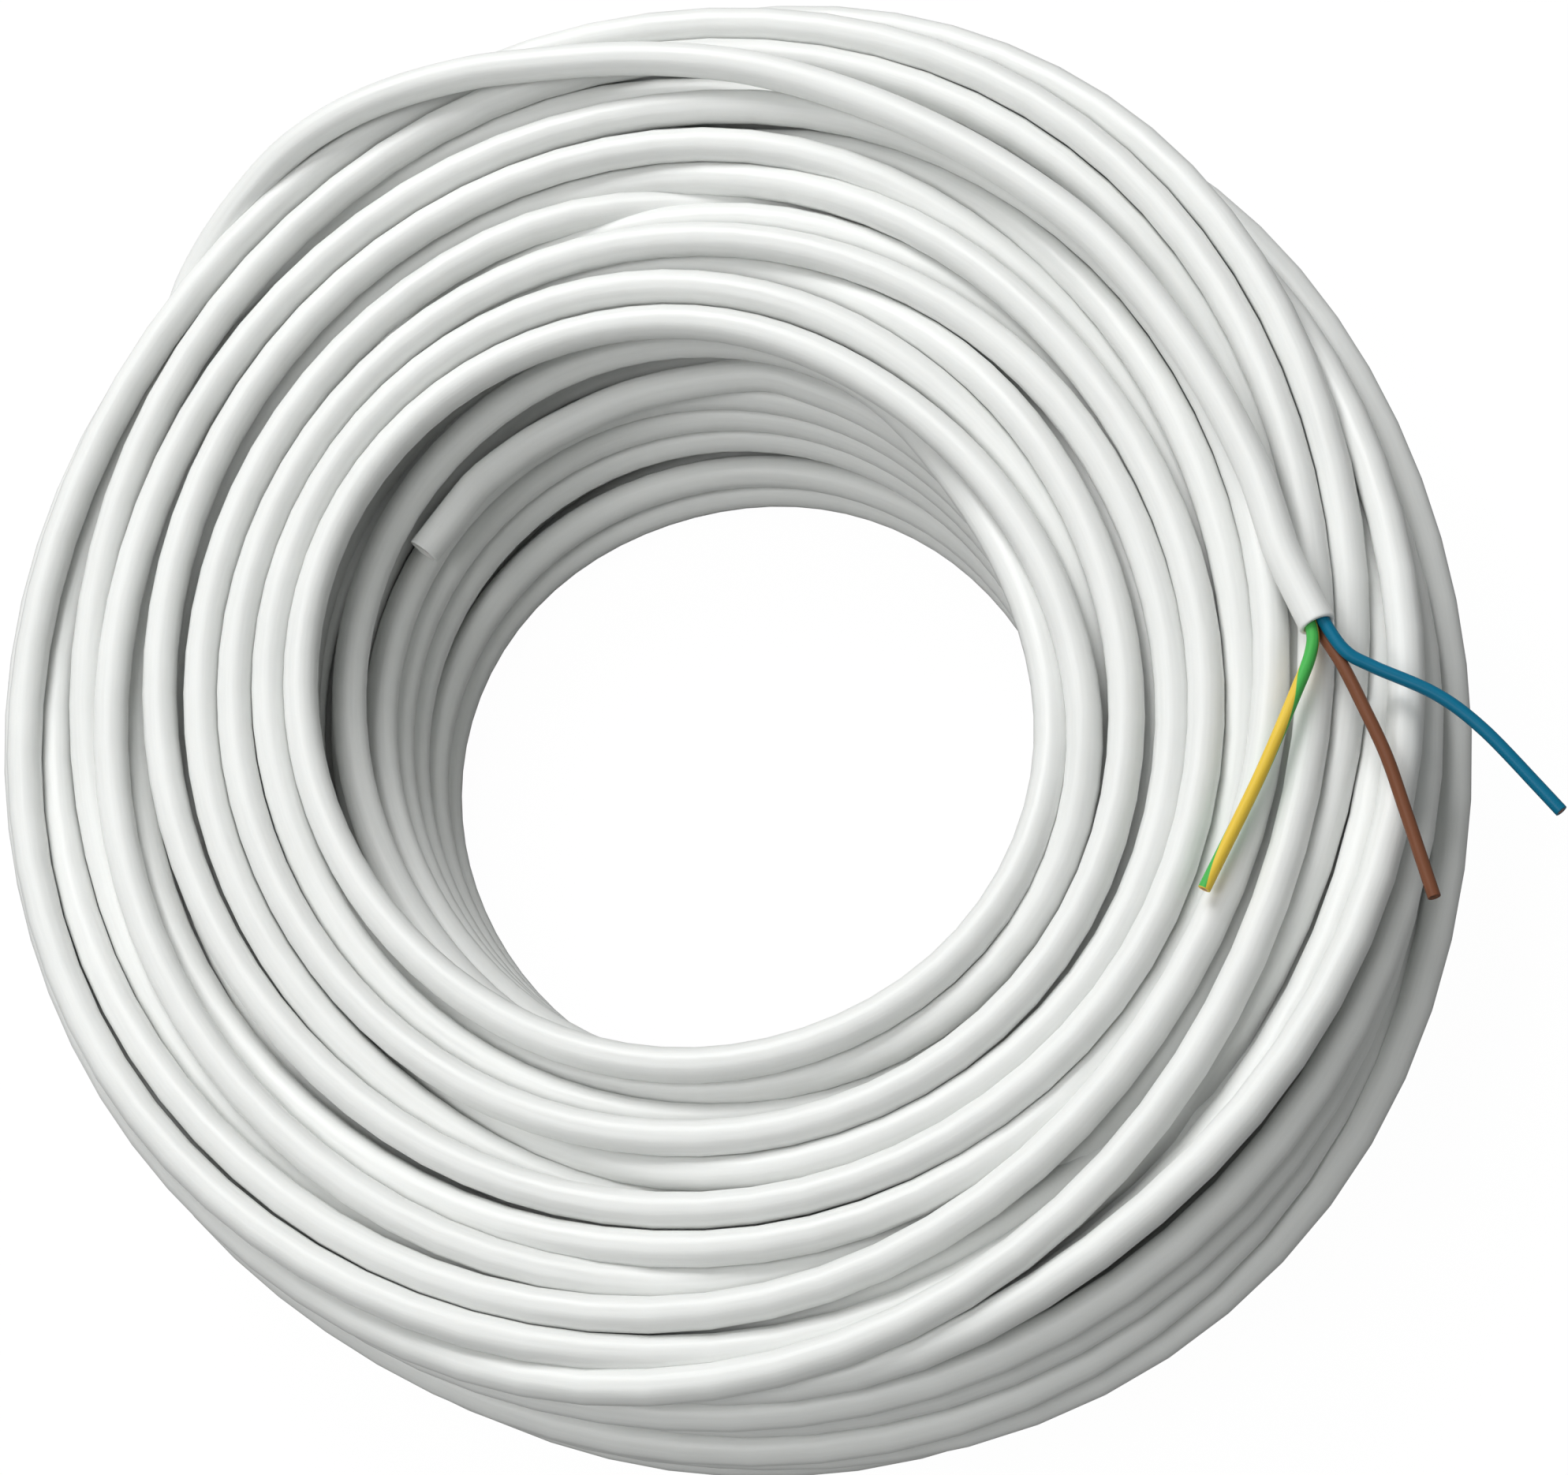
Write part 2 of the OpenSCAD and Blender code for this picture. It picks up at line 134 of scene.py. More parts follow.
# %% [markdown]
# ## The lay of the cable
# A cable could be wound in neat level layers, but then the top shows even circles. On a real ring
# each layer ends in one or two loose turns that wander over their neighbours. So the turns that
# show are given in runs: a run is a list of an angle, a radius and a height, in degrees
# and millimetres, and the angle falls as the cable goes on. Its first and last places are where
# it comes up from the hidden turns and where it goes under again. The first runs lie round the
# bore. Two of them are short pieces that lie sunk between others.

# %% Runs round the bore
TOP = TOP_Z / MM


def places_in(runs):
    return sum(len(run) for run in runs)


BORE_RUNS = [
    # The rim of the bore, twice round
    [(60, 63.8, 46), (40, 64.3, 49), (25, 64.8, 52), (5, 67.3, 56), (355, 68.6, TOP), (345, 70.1, TOP),
     (335, 71.8, TOP), (315, 72.8, TOP), (290, 71.5, TOP), (265, 73.2, TOP), (245, 74.3, TOP),
     (225, 75.7, TOP), (205, 76.5, TOP), (185, 76, TOP), (165, 74.3, TOP), (145, 72.7, TOP),
     (125, 69.9, TOP), (105, 67.3, TOP), (90, 66.1, TOP), (75, 66.5, TOP), (55, 68.1, TOP),
     (35, 70.3, TOP), (15, 72.4, TOP), (355, 74.1, TOP), (345, 75.7, TOP), (335, 77.5, TOP),
     (325, 79.5, 58), (310, 79.2, 57.5), (297, 78.3, 55.5), (285, 76.9, 53.5), (275, 76.5, 51),
     (262, 77.2, 50), (245, 78.4, 50), (235, 78.9, 50), (215, 79, 49.5), (195, 80, 48)],
    # Close outside it
    [(305, 84, 47.5), (290, 83.4, 50.5), (285, 83, 51.8), (275, 82.5, 53), (262, 82.6, 54),
     (245, 83, 55), (225, 83.2, 56.5), (205, 82.7, 57.5), (185, 82.2, TOP), (165, 80.8, TOP),
     (145, 79.3, TOP), (125, 77.6, TOP), (105, 76.1, TOP), (90, 74.8, TOP), (75, 74.5, TOP),
     (55, 75.1, 57.5), (35, 76.2, 57), (15, 77.3, 55), (355, 78.2, 53.5), (335, 79, 50)],
    [(115, 80, 49), (95, 80.3, 53), (75, 80.3, 56.5), (55, 81.5, TOP), (35, 82.1, TOP),
     (15, 82.1, TOP), (355, 82.3, TOP), (335, 84.2, TOP), (315, 86.5, TOP), (295, 86.1, TOP),
     (275, 86.1, TOP), (255, 87.3, TOP), (235, 88.4, TOP), (205, 88.9, TOP), (185, 88.7, TOP),
     (165, 87.4, TOP), (145, 86.1, TOP), (125, 85.3, TOP), (105, 84.8, TOP), (85, 85.1, TOP),
     (65, 86.4, TOP), (45, 88.7, TOP), (25, 90, TOP), (5, 91, TOP), (345, 91.9, TOP), (335, 93.5, TOP),
     (315, 94.1, TOP), (295, 93.5, 58), (285, 92.9, 57.5), (275, 92.4, 56.5), (268, 92.2, 55.5),
     (262, 92.2, 53.5), (255, 92.3, 51), (240, 92.5, 48)],
    # Two short pieces that lie sunk between others
    [(55, 84.5, 50), (38, 86, 53), (15, 86.5, 54), (355, 87.3, 54), (335, 89.5, 54), (315, 90.5, 53.5),
     (300, 90.5, 51.5), (280, 90, 49)],
    [(130, 88.5, 49), (115, 89, 51.5), (107, 89.1, 53), (98, 89.4, 54.5), (90, 90.4, 56.3),
     (82, 91.5, 57.5), (75, 92.5, 57.5), (65, 92.6, 57), (55, 92.5, 55.5), (45, 92.3, 53.5),
     (30, 92, 50)],
]
print("round the bore", len(BORE_RUNS), "runs,", places_in(BORE_RUNS), "places")

# %% [markdown]
# The middle of the top has the widest crossings. The last of these runs crosses outward over its
# own start, which a single flat spiral could not do.

# %% Runs in the middle
MIDDLE_RUNS = [
    [(300, 101, 49), (285, 99.5, 51), (275, 98.3, 52), (265, 97, 53.5), (255, 95.9, 55.5),
     (245, 95.1, 57.5), (235, 94.6, TOP), (225, 94.5, TOP), (205, 95.1, TOP), (185, 95.4, TOP),
     (165, 94.1, TOP), (145, 93.6, TOP), (130, 93.9, TOP), (120, 94.4, TOP), (110, 95.3, TOP),
     (105, 95.4, 58), (98, 95, 56.5), (90, 94.6, 53), (83, 94.5, 50.5), (70, 94, 48)],
    [(190, 98.5, 49), (175, 98.8, 51), (150, 98.8, 51.5), (130, 99.3, 51.5), (115, 100, 52),
     (105, 100, 52), (96, 99.5, 53), (88, 99.2, 56), (75, 99, TOP), (65, 98.4, TOP), (55, 97.3, TOP),
     (45, 96.4, TOP), (25, 95.5, TOP), (5, 95.6, TOP), (345, 96.7, TOP), (325, 97.6, TOP),
     (305, 98.1, TOP), (285, 98.8, TOP), (265, 99.1, TOP), (245, 100, TOP), (225, 101.2, TOP),
     (205, 102, TOP), (185, 102.7, TOP), (165, 103, TOP), (145, 104.3, TOP), (125, 105.5, TOP),
     (105, 106.3, TOP), (85, 106.3, TOP), (75, 105.8, TOP), (65, 104.7, TOP), (55, 102.8, 57),
     (45, 101.3, 55.5), (35, 100.1, 54), (15, 99.3, 51.5), (0, 99, 49)],
    [(90, 110, 46), (75, 109.5, 49.5), (65, 109.3, 54), (55, 108.3, 57), (45, 107, TOP),
     (35, 106, TOP), (25, 105, TOP), (15, 104, TOP), (5, 102.9, TOP), (345, 102.1, TOP),
     (325, 102.1, TOP), (315, 103.2, TOP), (305, 104.5, TOP), (295, 106, TOP), (285, 106.6, TOP),
     (265, 107, TOP), (245, 107.3, 57), (235, 107.7, 56), (225, 108.3, 55), (215, 109.5, 54.5),
     (205, 110, 54), (195, 109.5, 54), (185, 108.5, 54), (175, 107.8, 53.5), (165, 107.6, 52.5),
     (150, 107, 50)],
    # This one crosses outward over its own start
    [(310, 110, 49), (293, 111, 51.5), (285, 111.7, 53), (275, 112.9, 54.5), (265, 113.5, 56),
     (255, 113.3, 57.5), (245, 113, TOP), (225, 113.5, TOP), (205, 114.3, TOP), (195, 114.1, TOP),
     (185, 112.9, TOP), (175, 111.9, TOP), (165, 111.4, TOP), (145, 112, TOP), (125, 113.3, TOP),
     (105, 114.2, TOP), (85, 114.2, 57), (65, 113.8, 56.5), (45, 112.5, 56.5), (25, 111, 57.5),
     (5, 109.5, TOP), (345, 107.5, TOP), (325, 106, TOP), (315, 106.8, TOP), (305, 109, TOP),
     (295, 112.5, TOP), (285, 115.8, TOP), (275, 118, TOP), (265, 119.2, TOP), (245, 120.8, TOP),
     (225, 122.2, 57.5), (215, 122.9, 57), (205, 123.4, 56), (185, 123.8, 54.5), (165, 123.8, 53),
     (152, 123.6, 52), (138, 121.5, 51.5), (125, 119.3, 52), (115, 118.4, 52), (105, 118, 52),
     (85, 118, 49)],
]
print("in the middle", len(MIDDLE_RUNS), "runs,", places_in(MIDDLE_RUNS), "places")

# %% [markdown]
# The outer half of the top is two long runs. They keep close to the wall for half of the way round
# and lean in by a strand or two just past the place where the cut end lies.

# %% Runs in the outer half
OUTER_RUNS = [
    [(275, 116.3, 49), (259, 116.8, 52), (245, 117, 53.3), (225, 117.5, 54), (205, 117.8, 55.5),
     (190, 117.8, 57), (178, 117.8, TOP), (168, 117.9, TOP), (158, 118.7, TOP), (148, 120.3, TOP),
     (138, 122, TOP), (118, 124.5, TOP), (105, 125.7, 57.5), (88, 126.7, 57), (75, 126.3, 57),
     (65, 125.7, 57), (55, 123.7, 57), (45, 121.3, 57), (35, 118.7, 57), (22, 116, 56.5),
     (11, 114.5, 55.5), (355, 112, 53.5), (335, 110.2, 52), (325, 110.5, 52), (315, 111.9, 52),
     (305, 114.5, 51.5), (298, 116, 50.5), (290, 117, 48.5), (278, 118, 46)],
    [(316, 117, 47.5), (308, 119.5, 50), (302, 120.8, 51.5), (295, 122.3, 52), (290, 123.2, 52.5),
     (285, 124, 53.3), (275, 125.7, 54), (265, 125.8, 54.8), (258, 125.7, 56), (250, 126.5, 57.5),
     (240, 127.9, 57.5), (225, 130.1, 57.5), (205, 131, 57.5), (195, 130.5, 57.5), (185, 129.7, 57.5),
     (172, 128.3, 57.5), (162, 127.5, 57.5), (152, 127.3, 57.5), (142, 127.7, 57.5), (132, 129, 57.5),
     (122, 131.3, 57), (116, 131.7, 57), (105, 132.2, 56.5), (95, 132.1, 56.5), (80, 132.3, 56.5),
     (65, 131.6, 57), (55, 129.9, 57.5), (45, 127, 57.5), (35, 124.3, 57.5), (25, 121.8, 57.5),
     (15, 119.7, 57.5), (8, 118.7, 57.5), (352, 115.3, 57.5), (345, 114.3, TOP), (335, 114.3, TOP),
     (325, 114.9, TOP), (315, 116.5, TOP), (305, 120.3, TOP), (300, 121.8, TOP), (293, 125.3, TOP),
     (285, 128.3, TOP), (275, 130.7, 57.5), (265, 131.4, 57), (258, 131.3, 55.5), (252, 130.5, 53),
     (245, 129.8, 50.5), (233, 129, 48)],
]
print("in the outer half", len(OUTER_RUNS), "runs,", places_in(OUTER_RUNS), "places")

# %% [markdown]
# At the shoulder the turns are loose and cross from the top to the wall. The near side of the
# wall shows three turns that run level and one that slants over them on its way down.

# %% Runs over the shoulder and the wall
SHOULDER_RUNS = [
    [(100, 134, 46), (78, 135, 51), (65, 136, 54), (55, 135.6, 56), (45, 134, 57), (35, 131, 57.5),
     (25, 128.1, 57.5), (15, 125.5, 57), (5, 123.2, 56), (355, 121.3, 55), (348, 120, 54.5),
     (338, 119.3, 54), (330, 119.4, 53), (321, 121, 49.5), (313, 122, 45.5)],
    [(20, 124, 46), (0, 123.5, 48), (342, 123.3, 49.5), (332, 123.2, 50), (322, 123.8, 50.5),
     (312, 125, 50.5), (300, 126.5, 50), (285, 127, 47)],
    [(30, 128, 49), (12, 127.3, 53), (355, 126.6, 54.5), (345, 127, 54.7), (335, 127.1, 54.5),
     (325, 127.2, 53.5), (317, 128, 52), (300, 129, 48)],
    [(40, 131, 50), (22, 131, 53), (5, 131.1, 56), (355, 131.5, 57), (345, 132.3, 57.5),
     (335, 132.1, 57.5), (325, 131, 57.5), (315, 129.9, 57), (305, 129.7, 56), (297, 130.2, 54),
     (285, 131.3, 50)],
]
WALL_RUNS = [
    [(20, 127, 46), (8, 131, 49.5), (0, 135.6, 51), (350, 136.6, 49.5), (335, 137, 48.5),
     (322, 137.1, 48), (315, 137.7, 47.8), (305, 138.8, 47.5), (298, 138.4, 47.5), (290, 137.2, 47.5),
     (283, 135.7, 47.5), (275, 134.2, 47.5), (265, 132.8, 47.5), (255, 131.4, 47), (245, 131, 45)],
    [(350, 134, 36), (335, 137.5, 38), (327, 140, 39.5), (320, 142.2, 41), (313, 142.6, 41.2),
     (306, 142.2, 41.2), (300, 141.3, 41.2), (292, 139.8, 41), (285, 138.6, 41), (277, 137, 41),
     (268, 135, 41), (258, 132.5, 41), (245, 129, 42)],
    [(335, 138, 32), (325, 142, 33), (317, 145, 34.5), (310, 146.4, 35.2), (303, 146.6, 35.3),
     (295, 146, 35.3), (285, 144, 35.3), (277, 141.9, 35.3), (270, 140, 35.3), (262, 137.7, 35.5),
     (255, 135.6, 36), (247, 134, 37), (240, 132.3, 38.5), (232, 130.5, 40), (222, 127, 41)],
    [(60, 134, 46), (38, 134.6, 49.5), (25, 134.6, 51), (15, 135.3, 49.5), (5, 136.8, 46.5),
     (355, 138.7, 42.5), (345, 141.4, 38), (337, 144, 34), (330, 146.3, 31), (322, 148, 29.5),
     (315, 150.3, 28.8), (308, 151.4, 28.8), (300, 150.5, 29), (292, 148.4, 29), (285, 145.4, 29),
     (277, 142, 29.3), (270, 139, 29.8), (260, 136, 30), (250, 133, 31)],
]

RUNS = BORE_RUNS + MIDDLE_RUNS + OUTER_RUNS + SHOULDER_RUNS + WALL_RUNS
print("all", len(RUNS), "runs,", places_in(RUNS), "places")

# %% [markdown]
# ## Where a run really lies
# Each run says where its strand is seen from the camera, as if it lay on the top layer. The
# camera looks at a slant, so a strand that lies lower is really at another radius. The line from
# the camera's eye through the seen place is followed down to the strand's own height. Reading
# the real radius off by eye would need a new guess for every place.

# %% Radius behind a seen place
def true_radius(angle, r, z):
    """The radius at height z of a strand that the camera sees at radius r on the top layer."""
    eye = np.array(CAMERA_BACK * CAMERA_AWAY)
    seen = place(angle, r, TOP_Z)
    real = eye + (seen - eye) * (eye[2] - z) / (eye[2] - TOP_Z)
    toward = np.array([math.cos(SLUMP), math.sin(SLUMP)]) * LEAN / COIL_H
    return r + np.linalg.norm(real[:2] - toward * z) - np.linalg.norm(seen[:2] - toward * TOP_Z)


print("a strand on the wall, seen at", OUTER_R, "is at", true_radius(300, OUTER_R, COIL_H / 2))

# %% [markdown]
# ## From run to run
# Between two runs the cable goes on out of sight. Mostly it passes under the top layer, but at
# three places it winds down to the foot and up again, which fills the inside of the ring with
# level turns. The places along the whole winding are collected in one list of turns since the
# start, radius, height, and 1 where the cable follows a listed run.

# %% Hidden turns
START_ANGLE = 83
END_ANGLE = 173
# How far a hidden turn rises or falls each time round, up the bore, inside the ring and at the wall
BORE_CLIMB = 1.04 * CABLE_D
CLIMB = 7.8 * MM
LAST_CLIMB = 9 * MM
# Turns that a step from one upright layer to the next takes
STEP_TURNS = 0.35
# How far the cable ducks after a run, before the next run, and on its way between two near ones
DUCK_AFTER = 0.3 * CABLE_D
DUCK_BEFORE = 0.4 * CABLE_D
DUCK_BETWEEN = 0.45 * CABLE_D
# The fewest turns between two runs, and the number past which the cable ducks on the way
SHORTEST_PASS = 0.08
LONG_PASS = 0.3


def go(keys, turns, share, z):
    """Adds a place some turns on, at a share of the way from the bore to the wall."""
    r = bore_r(z) + share * (wall_r(z) - bore_r(z))
    keys.append((keys[-1][0] + turns, r, z, 0))


def go_down_and_up(keys, starts, first_z, inner, outer):
    """Winds down to the foot and up again; returns the turns at which the next run starts."""
    last_z = keys[-1][2]
    go(keys, STEP_TURNS, inner, last_z - DUCK_AFTER)
    go(keys, (last_z - LOW_Z) / CLIMB, inner, LOW_Z)
    go(keys, STEP_TURNS, outer, LOW_Z)
    starts += math.ceil(keys[-1][0] + (first_z - LOW_Z) / CLIMB - starts)
    go(keys, starts - STEP_TURNS - keys[-1][0], outer, first_z - DUCK_BEFORE)
    return starts


def go_across(keys, starts, first_r, first_z):
    """Passes under the top layer; returns the turns at which the next run starts."""
    last, last_r, last_z, _ = keys[-1]
    starts += math.ceil(last + SHORTEST_PASS - starts)
    dip = (last_z + first_z) / 2 - DUCK_BETWEEN
    if starts - last > LONG_PASS:
        for share in (0.3, 0.7):
            keys.append((last + (starts - last) * share, last_r + (first_r - last_r) * share, dip, 0))
    return starts


print("a layer inside the ring climbs", (TOP_Z - LOW_Z) / CLIMB, "turns high")

# %% [markdown]
# Now the runs and the hidden turns are joined in the order in which the cable goes through them,
# starting from its inner end. The inner end winds down the bore first. At the end the cable winds
# down inside the wall, up the wall, and leaves it at the height of the outer end.

# %% Laying it all
# Before these runs, counted from 0, the cable winds down at the first share of the way from the
# bore to the wall and up at the second.
DOWN_AND_UP = {2: (0.2, 0.3), 6: (0.42, 0.54), 9: (0.68, 0.8)}
SECOND_LAYER = 0.1
LAST_DOWN = 0.85
LAST_UP = 0.95
LAST_STEP_TURNS = 0.2


def falling(run):
    """The run's angles, each less than the one before."""
    angles = [run[0][0]]
    for angle, _, _ in run[1:]:
        angles.append(angle - 360 * math.ceil((angle - angles[-1]) / 360))
    return angles


def lay_run(keys, run, starts):
    """Adds a run's places; the first and the last aren't held there."""
    angles = falling(run)
    for angle, (_, r, z) in zip(angles, run):
        by_hand = 0 if angle in (angles[0], angles[-1]) else 1
        turns = starts + (angles[0] - angle) / 360
        keys.append((turns, true_radius(angle, r * MM, z * MM), z * MM, by_hand))


def lay_keys():
    """Places along the winding: turns since the start, radius, height, and 1 where given in a run."""
    keys = [(0.0, bore_r(INNER_END_Z), INNER_END_Z, 0)]
    go(keys, (INNER_END_Z - LOW_Z) / BORE_CLIMB, 0, LOW_Z)
    go(keys, STEP_TURNS, SECOND_LAYER, LOW_Z)
    go(keys, (INNER_END_Z - LOW_Z) / CLIMB, SECOND_LAYER, INNER_END_Z)
    for number, run in enumerate(RUNS):
        first_angle, first_r, first_z = run[0]
        starts = (START_ANGLE - first_angle) / 360
        if number in DOWN_AND_UP:
            starts = go_down_and_up(keys, starts, first_z * MM, *DOWN_AND_UP[number])
        else:
            starts = go_across(keys, starts, first_r * MM, first_z * MM)
        lay_run(keys, run, starts)
    go(keys, LAST_STEP_TURNS, LAST_DOWN, keys[-1][2] - DUCK_BEFORE)
    go(keys, (keys[-1][2] - LOW_Z) / LAST_CLIMB, LAST_DOWN, LOW_Z)
    go(keys, STEP_TURNS, LAST_UP, LOW_Z)
    ends = (START_ANGLE - END_ANGLE) / 360
    ends += math.ceil(keys[-1][0] + (OUTER_END_Z - LOW_Z) / LAST_CLIMB - ends)
    go(keys, ends - keys[-1][0] - STEP_TURNS, LAST_UP, OUTER_END_Z - DUCK_AFTER)
    go(keys, STEP_TURNS, 1, OUTER_END_Z)
    return np.array(keys)


KEYS = lay_keys()
print("turns", KEYS[-1, 0], "places", len(KEYS))

# %% [markdown]
# ## Letting the turns settle
# The runs and the hidden turns don't know of each other, so many would cut through their
# neighbours. A physics engine could settle fifty metres of cable, but slowly. Instead the ring
# is cut by upright planes through its middle. In each cut a turn is a disc, and the discs push
# each other apart, while smoothing along the cable keeps one cut in line with the next.
# Listed turns keep their radius and give way up or down; hidden ones give way freely.

# %% Discs that push each other apart
STATIONS = 72
NEAR = 1.6 * CABLE_D
TOUCHING = 1.005 * CABLE_D
LONGEST_PUSH = 0.0015
# Two discs that hardly give way are spared a huge push, and a crowded disc moves less.
LEAST_GIVE = 0.05
CROWDING = 0.55


def near_pairs(discs, turns):
    """Pairs of discs in the same cut that are near enough to meet soon."""
    grid = discs.reshape(turns, STATIONS, 2)
    pairs = []
    for turn in range(turns - 1):
        apart = grid[turn + 1:] - grid[turn]
        later, cut = np.nonzero((apart ** 2).sum(-1) < NEAR ** 2)
        pairs.append(np.stack([turn * STATIONS + cut, (later + turn + 1) * STATIONS + cut]))
    return np.concatenate(pairs, axis=1)


def push_apart(discs, pairs, gives):
    """Moves overlapping discs apart, each as far as it gives way, and less in a crowd."""
    i, j = pairs
    size = len(discs)
    apart = discs[i] - discs[j]
    gap = np.sqrt((apart ** 2).sum(1)) + 1e-9
    overlap = np.clip(TOUCHING - gap, 0, None)
    way = apart / gap[:, None]
    share = overlap / (((gives[i] + gives[j]) * way * way).sum(1) + LEAST_GIVE)
    hits = (overlap > 0).astype(float)
    crowd = np.maximum(1, CROWDING * (np.bincount(i, hits, size) + np.bincount(j, hits, size)))
    for axis in (0, 1):
        push = share * way[:, axis]
        move = (np.bincount(i, push, size) - np.bincount(j, push, size)) * gives[:, axis] / crowd
        discs[:, axis] += np.clip(move, -LONGEST_PUSH, LONGEST_PUSH)


print(STATIONS, "cuts, each", 2 * math.pi * OUTER_R / STATIONS, "m from the next at the wall")

# %% [markdown]
# ## What holds the discs in
# The floor, the bore, the wall and the top layer hold the discs in. The wall stands out from its
# oval in a few places. On the far side of the ring the two lowest turns have slid into the bore,
# and the turns over them stand off a little, so that a dark gap shows between.

# %% Bore, wall and foot
# How far the wall stands out from its oval, in millimetres, by angle
BULGES = [(0, 2.4), (20, 1), (50, 1), (75, 3), (95, 0), (185, 0), (215, -0.5), (235, -2), (258, -2.8),
          (272, -1), (290, 1.2), (310, 3.5), (325, 4), (340, 3.5), (360, 2.4)]
# How far past the bore and the wall a listed turn may stand
BORE_FREEDOM = 0.004
WALL_FREEDOM = 0.006
# How far the foot's turns slide and the others lift, the angles at which they do so most, and
# the height that parts the foot from the rest
FOOT_SLIDE = 3.6 * MM
FOOT_SLIDE_AT = 105
FOOT_LIFT = 2.2 * MM
FOOT_LIFT_AT = 145
FOOT_SPREAD = 50
FOOT_TOP = 15.5 * MM


def near_angle(angle, middle):
    """1 at the middle angle, falling to 0 about 90 degrees away from it."""
    return np.exp(-((angle - middle) / FOOT_SPREAD) ** 2)


def foot_slide(angle, z):
    """How far a turn of the bore's foot stands inside the bore's wall."""
    return FOOT_SLIDE * near_angle(angle, FOOT_SLIDE_AT) * (z < FOOT_TOP)


def foot_lift(angle, z):
    """How much higher a turn over the foot lies there; the inner end itself stays where it is."""
    fades = np.clip((INNER_END_Z - z) / (INNER_END_Z - FOOT_TOP), 0, 1)
    return FOOT_LIFT * near_angle(angle, FOOT_LIFT_AT) * fades * (z >= FOOT_TOP)


def keep_inside(discs, angle, by_hand, bulge):
    """Moves discs back that left the ring."""
    z = np.clip(discs[:, 1], LOW_Z, TOP_Z)
    discs[:, 1] = z
    nearest = bore_r(z) - foot_slide(angle, z) - BORE_FREEDOM * by_hand
    discs[:, 0] = np.clip(discs[:, 0], nearest, wall_r(z) + bulge + WALL_FREEDOM * by_hand)


print("the foot slides", foot_slide(FOOT_SLIDE_AT, LOW_Z), "m into the bore")

# %% [markdown]
# ## Where the discs start
# Each disc starts at its place in the lay of the cable. Smooth random numbers make the hidden
# turns a little uneven, and their seed is fixed, so that the ring is the same each time. How
# firmly a disc is held says how strongly it goes back to where it started: 1 where the cable
# follows a listed run or belongs to the slid foot, and 0 where it is hidden.

# %% Starting places
# How uneven the hidden turns are sideways and up and down, and random waves in a turn
UNEVEN_R = 0.0013
UNEVEN_Z = 0.0008
WAVES_R = 1.7
WAVES_Z = 1.3
# Turns that lie this near to the bore's wall belong to it
BORE_REACH = 0.3 * CABLE_D


def twice_between(a, b, c, d, f):
    """Twice the smooth curve from b to c at share f, coming from a and going on to d."""
    return 2 * b + (c - a) * f + (2 * a - 5 * b + 4 * c - d) * f * f + (3 * b - a - 3 * c + d) * f ** 3


def smooth_noise(count, per_turn, size):
    """Smooth random numbers along the cable."""
    x = np.arange(count) / STATIONS * per_turn
    knots = rng.normal(size=int(x[-1]) + 5)
    i = x.astype(int)
    f = x - i
    return size * 0.5 * twice_between(*(knots[i + k] for k in range(4)), f)


def starting_places(keys):
    """Turns and angle at every cut, how firmly the disc is held, and its radius and height."""
    count = int(round(keys[-1, 0] * STATIONS)) + 1
    t = np.arange(count) / STATIONS
    r, z, by_hand = (np.interp(t, keys[:, 0], keys[:, k]) for k in (1, 2, 3))
    # The corners between the places are rounded over seven cuts.
    for line in (r, z):
        line[3:-3] = sum(line[k:count - 6 + k] for k in range(7)) / 7
    angle = (START_ANGLE - 360 * t) % 360
    at_bore = r < bore_r(z) + BORE_REACH
    slide, lift = at_bore * foot_slide(angle, z), at_bore * foot_lift(angle, z)
    held = np.maximum(by_hand, np.maximum(slide / FOOT_SLIDE, lift / FOOT_LIFT))
    r += (1 - held) * smooth_noise(count, WAVES_R, UNEVEN_R) - slide
    z += (1 - held) * smooth_noise(count, WAVES_Z, UNEVEN_Z) + lift
    return t, angle, by_hand, held, np.stack([r, z], 1)


print("hidden turns are uneven by about", UNEVEN_R, "m in radius and", UNEVEN_Z, "m in height")

# %% [markdown]
# ## Settling
# Each round pulls the discs home, smooths the cable along its length, and then pushes touching
# discs apart several times. The pulling and smoothing grow weaker from round to round, and the
# last rounds push more often, so that in the end few turns touch too closely.

# %% Settle
ROUNDS = 160
FAR_AWAY = 1000.0
SINKING = 0.00002
# How strongly a hidden disc goes home, and how much more a held one
PULL_HIDDEN = 0.02
PULL_HELD = 0.48


def ease_along(cable, held, left):
    """Smooths the cable over a long, a middling and a short reach, held places less."""
    for reach, spared in ((6, 0.95), (3, 0.75), (1, 0.1)):
        bend = (cable[:-2 * reach] + cable[2 * reach:]) / 2 - cable[reach:-reach]
        ease = (0.125 + 0.375 * left) * (1 - spared * held[reach:-reach])
        cable[reach:-reach] += ease[:, None] * bend


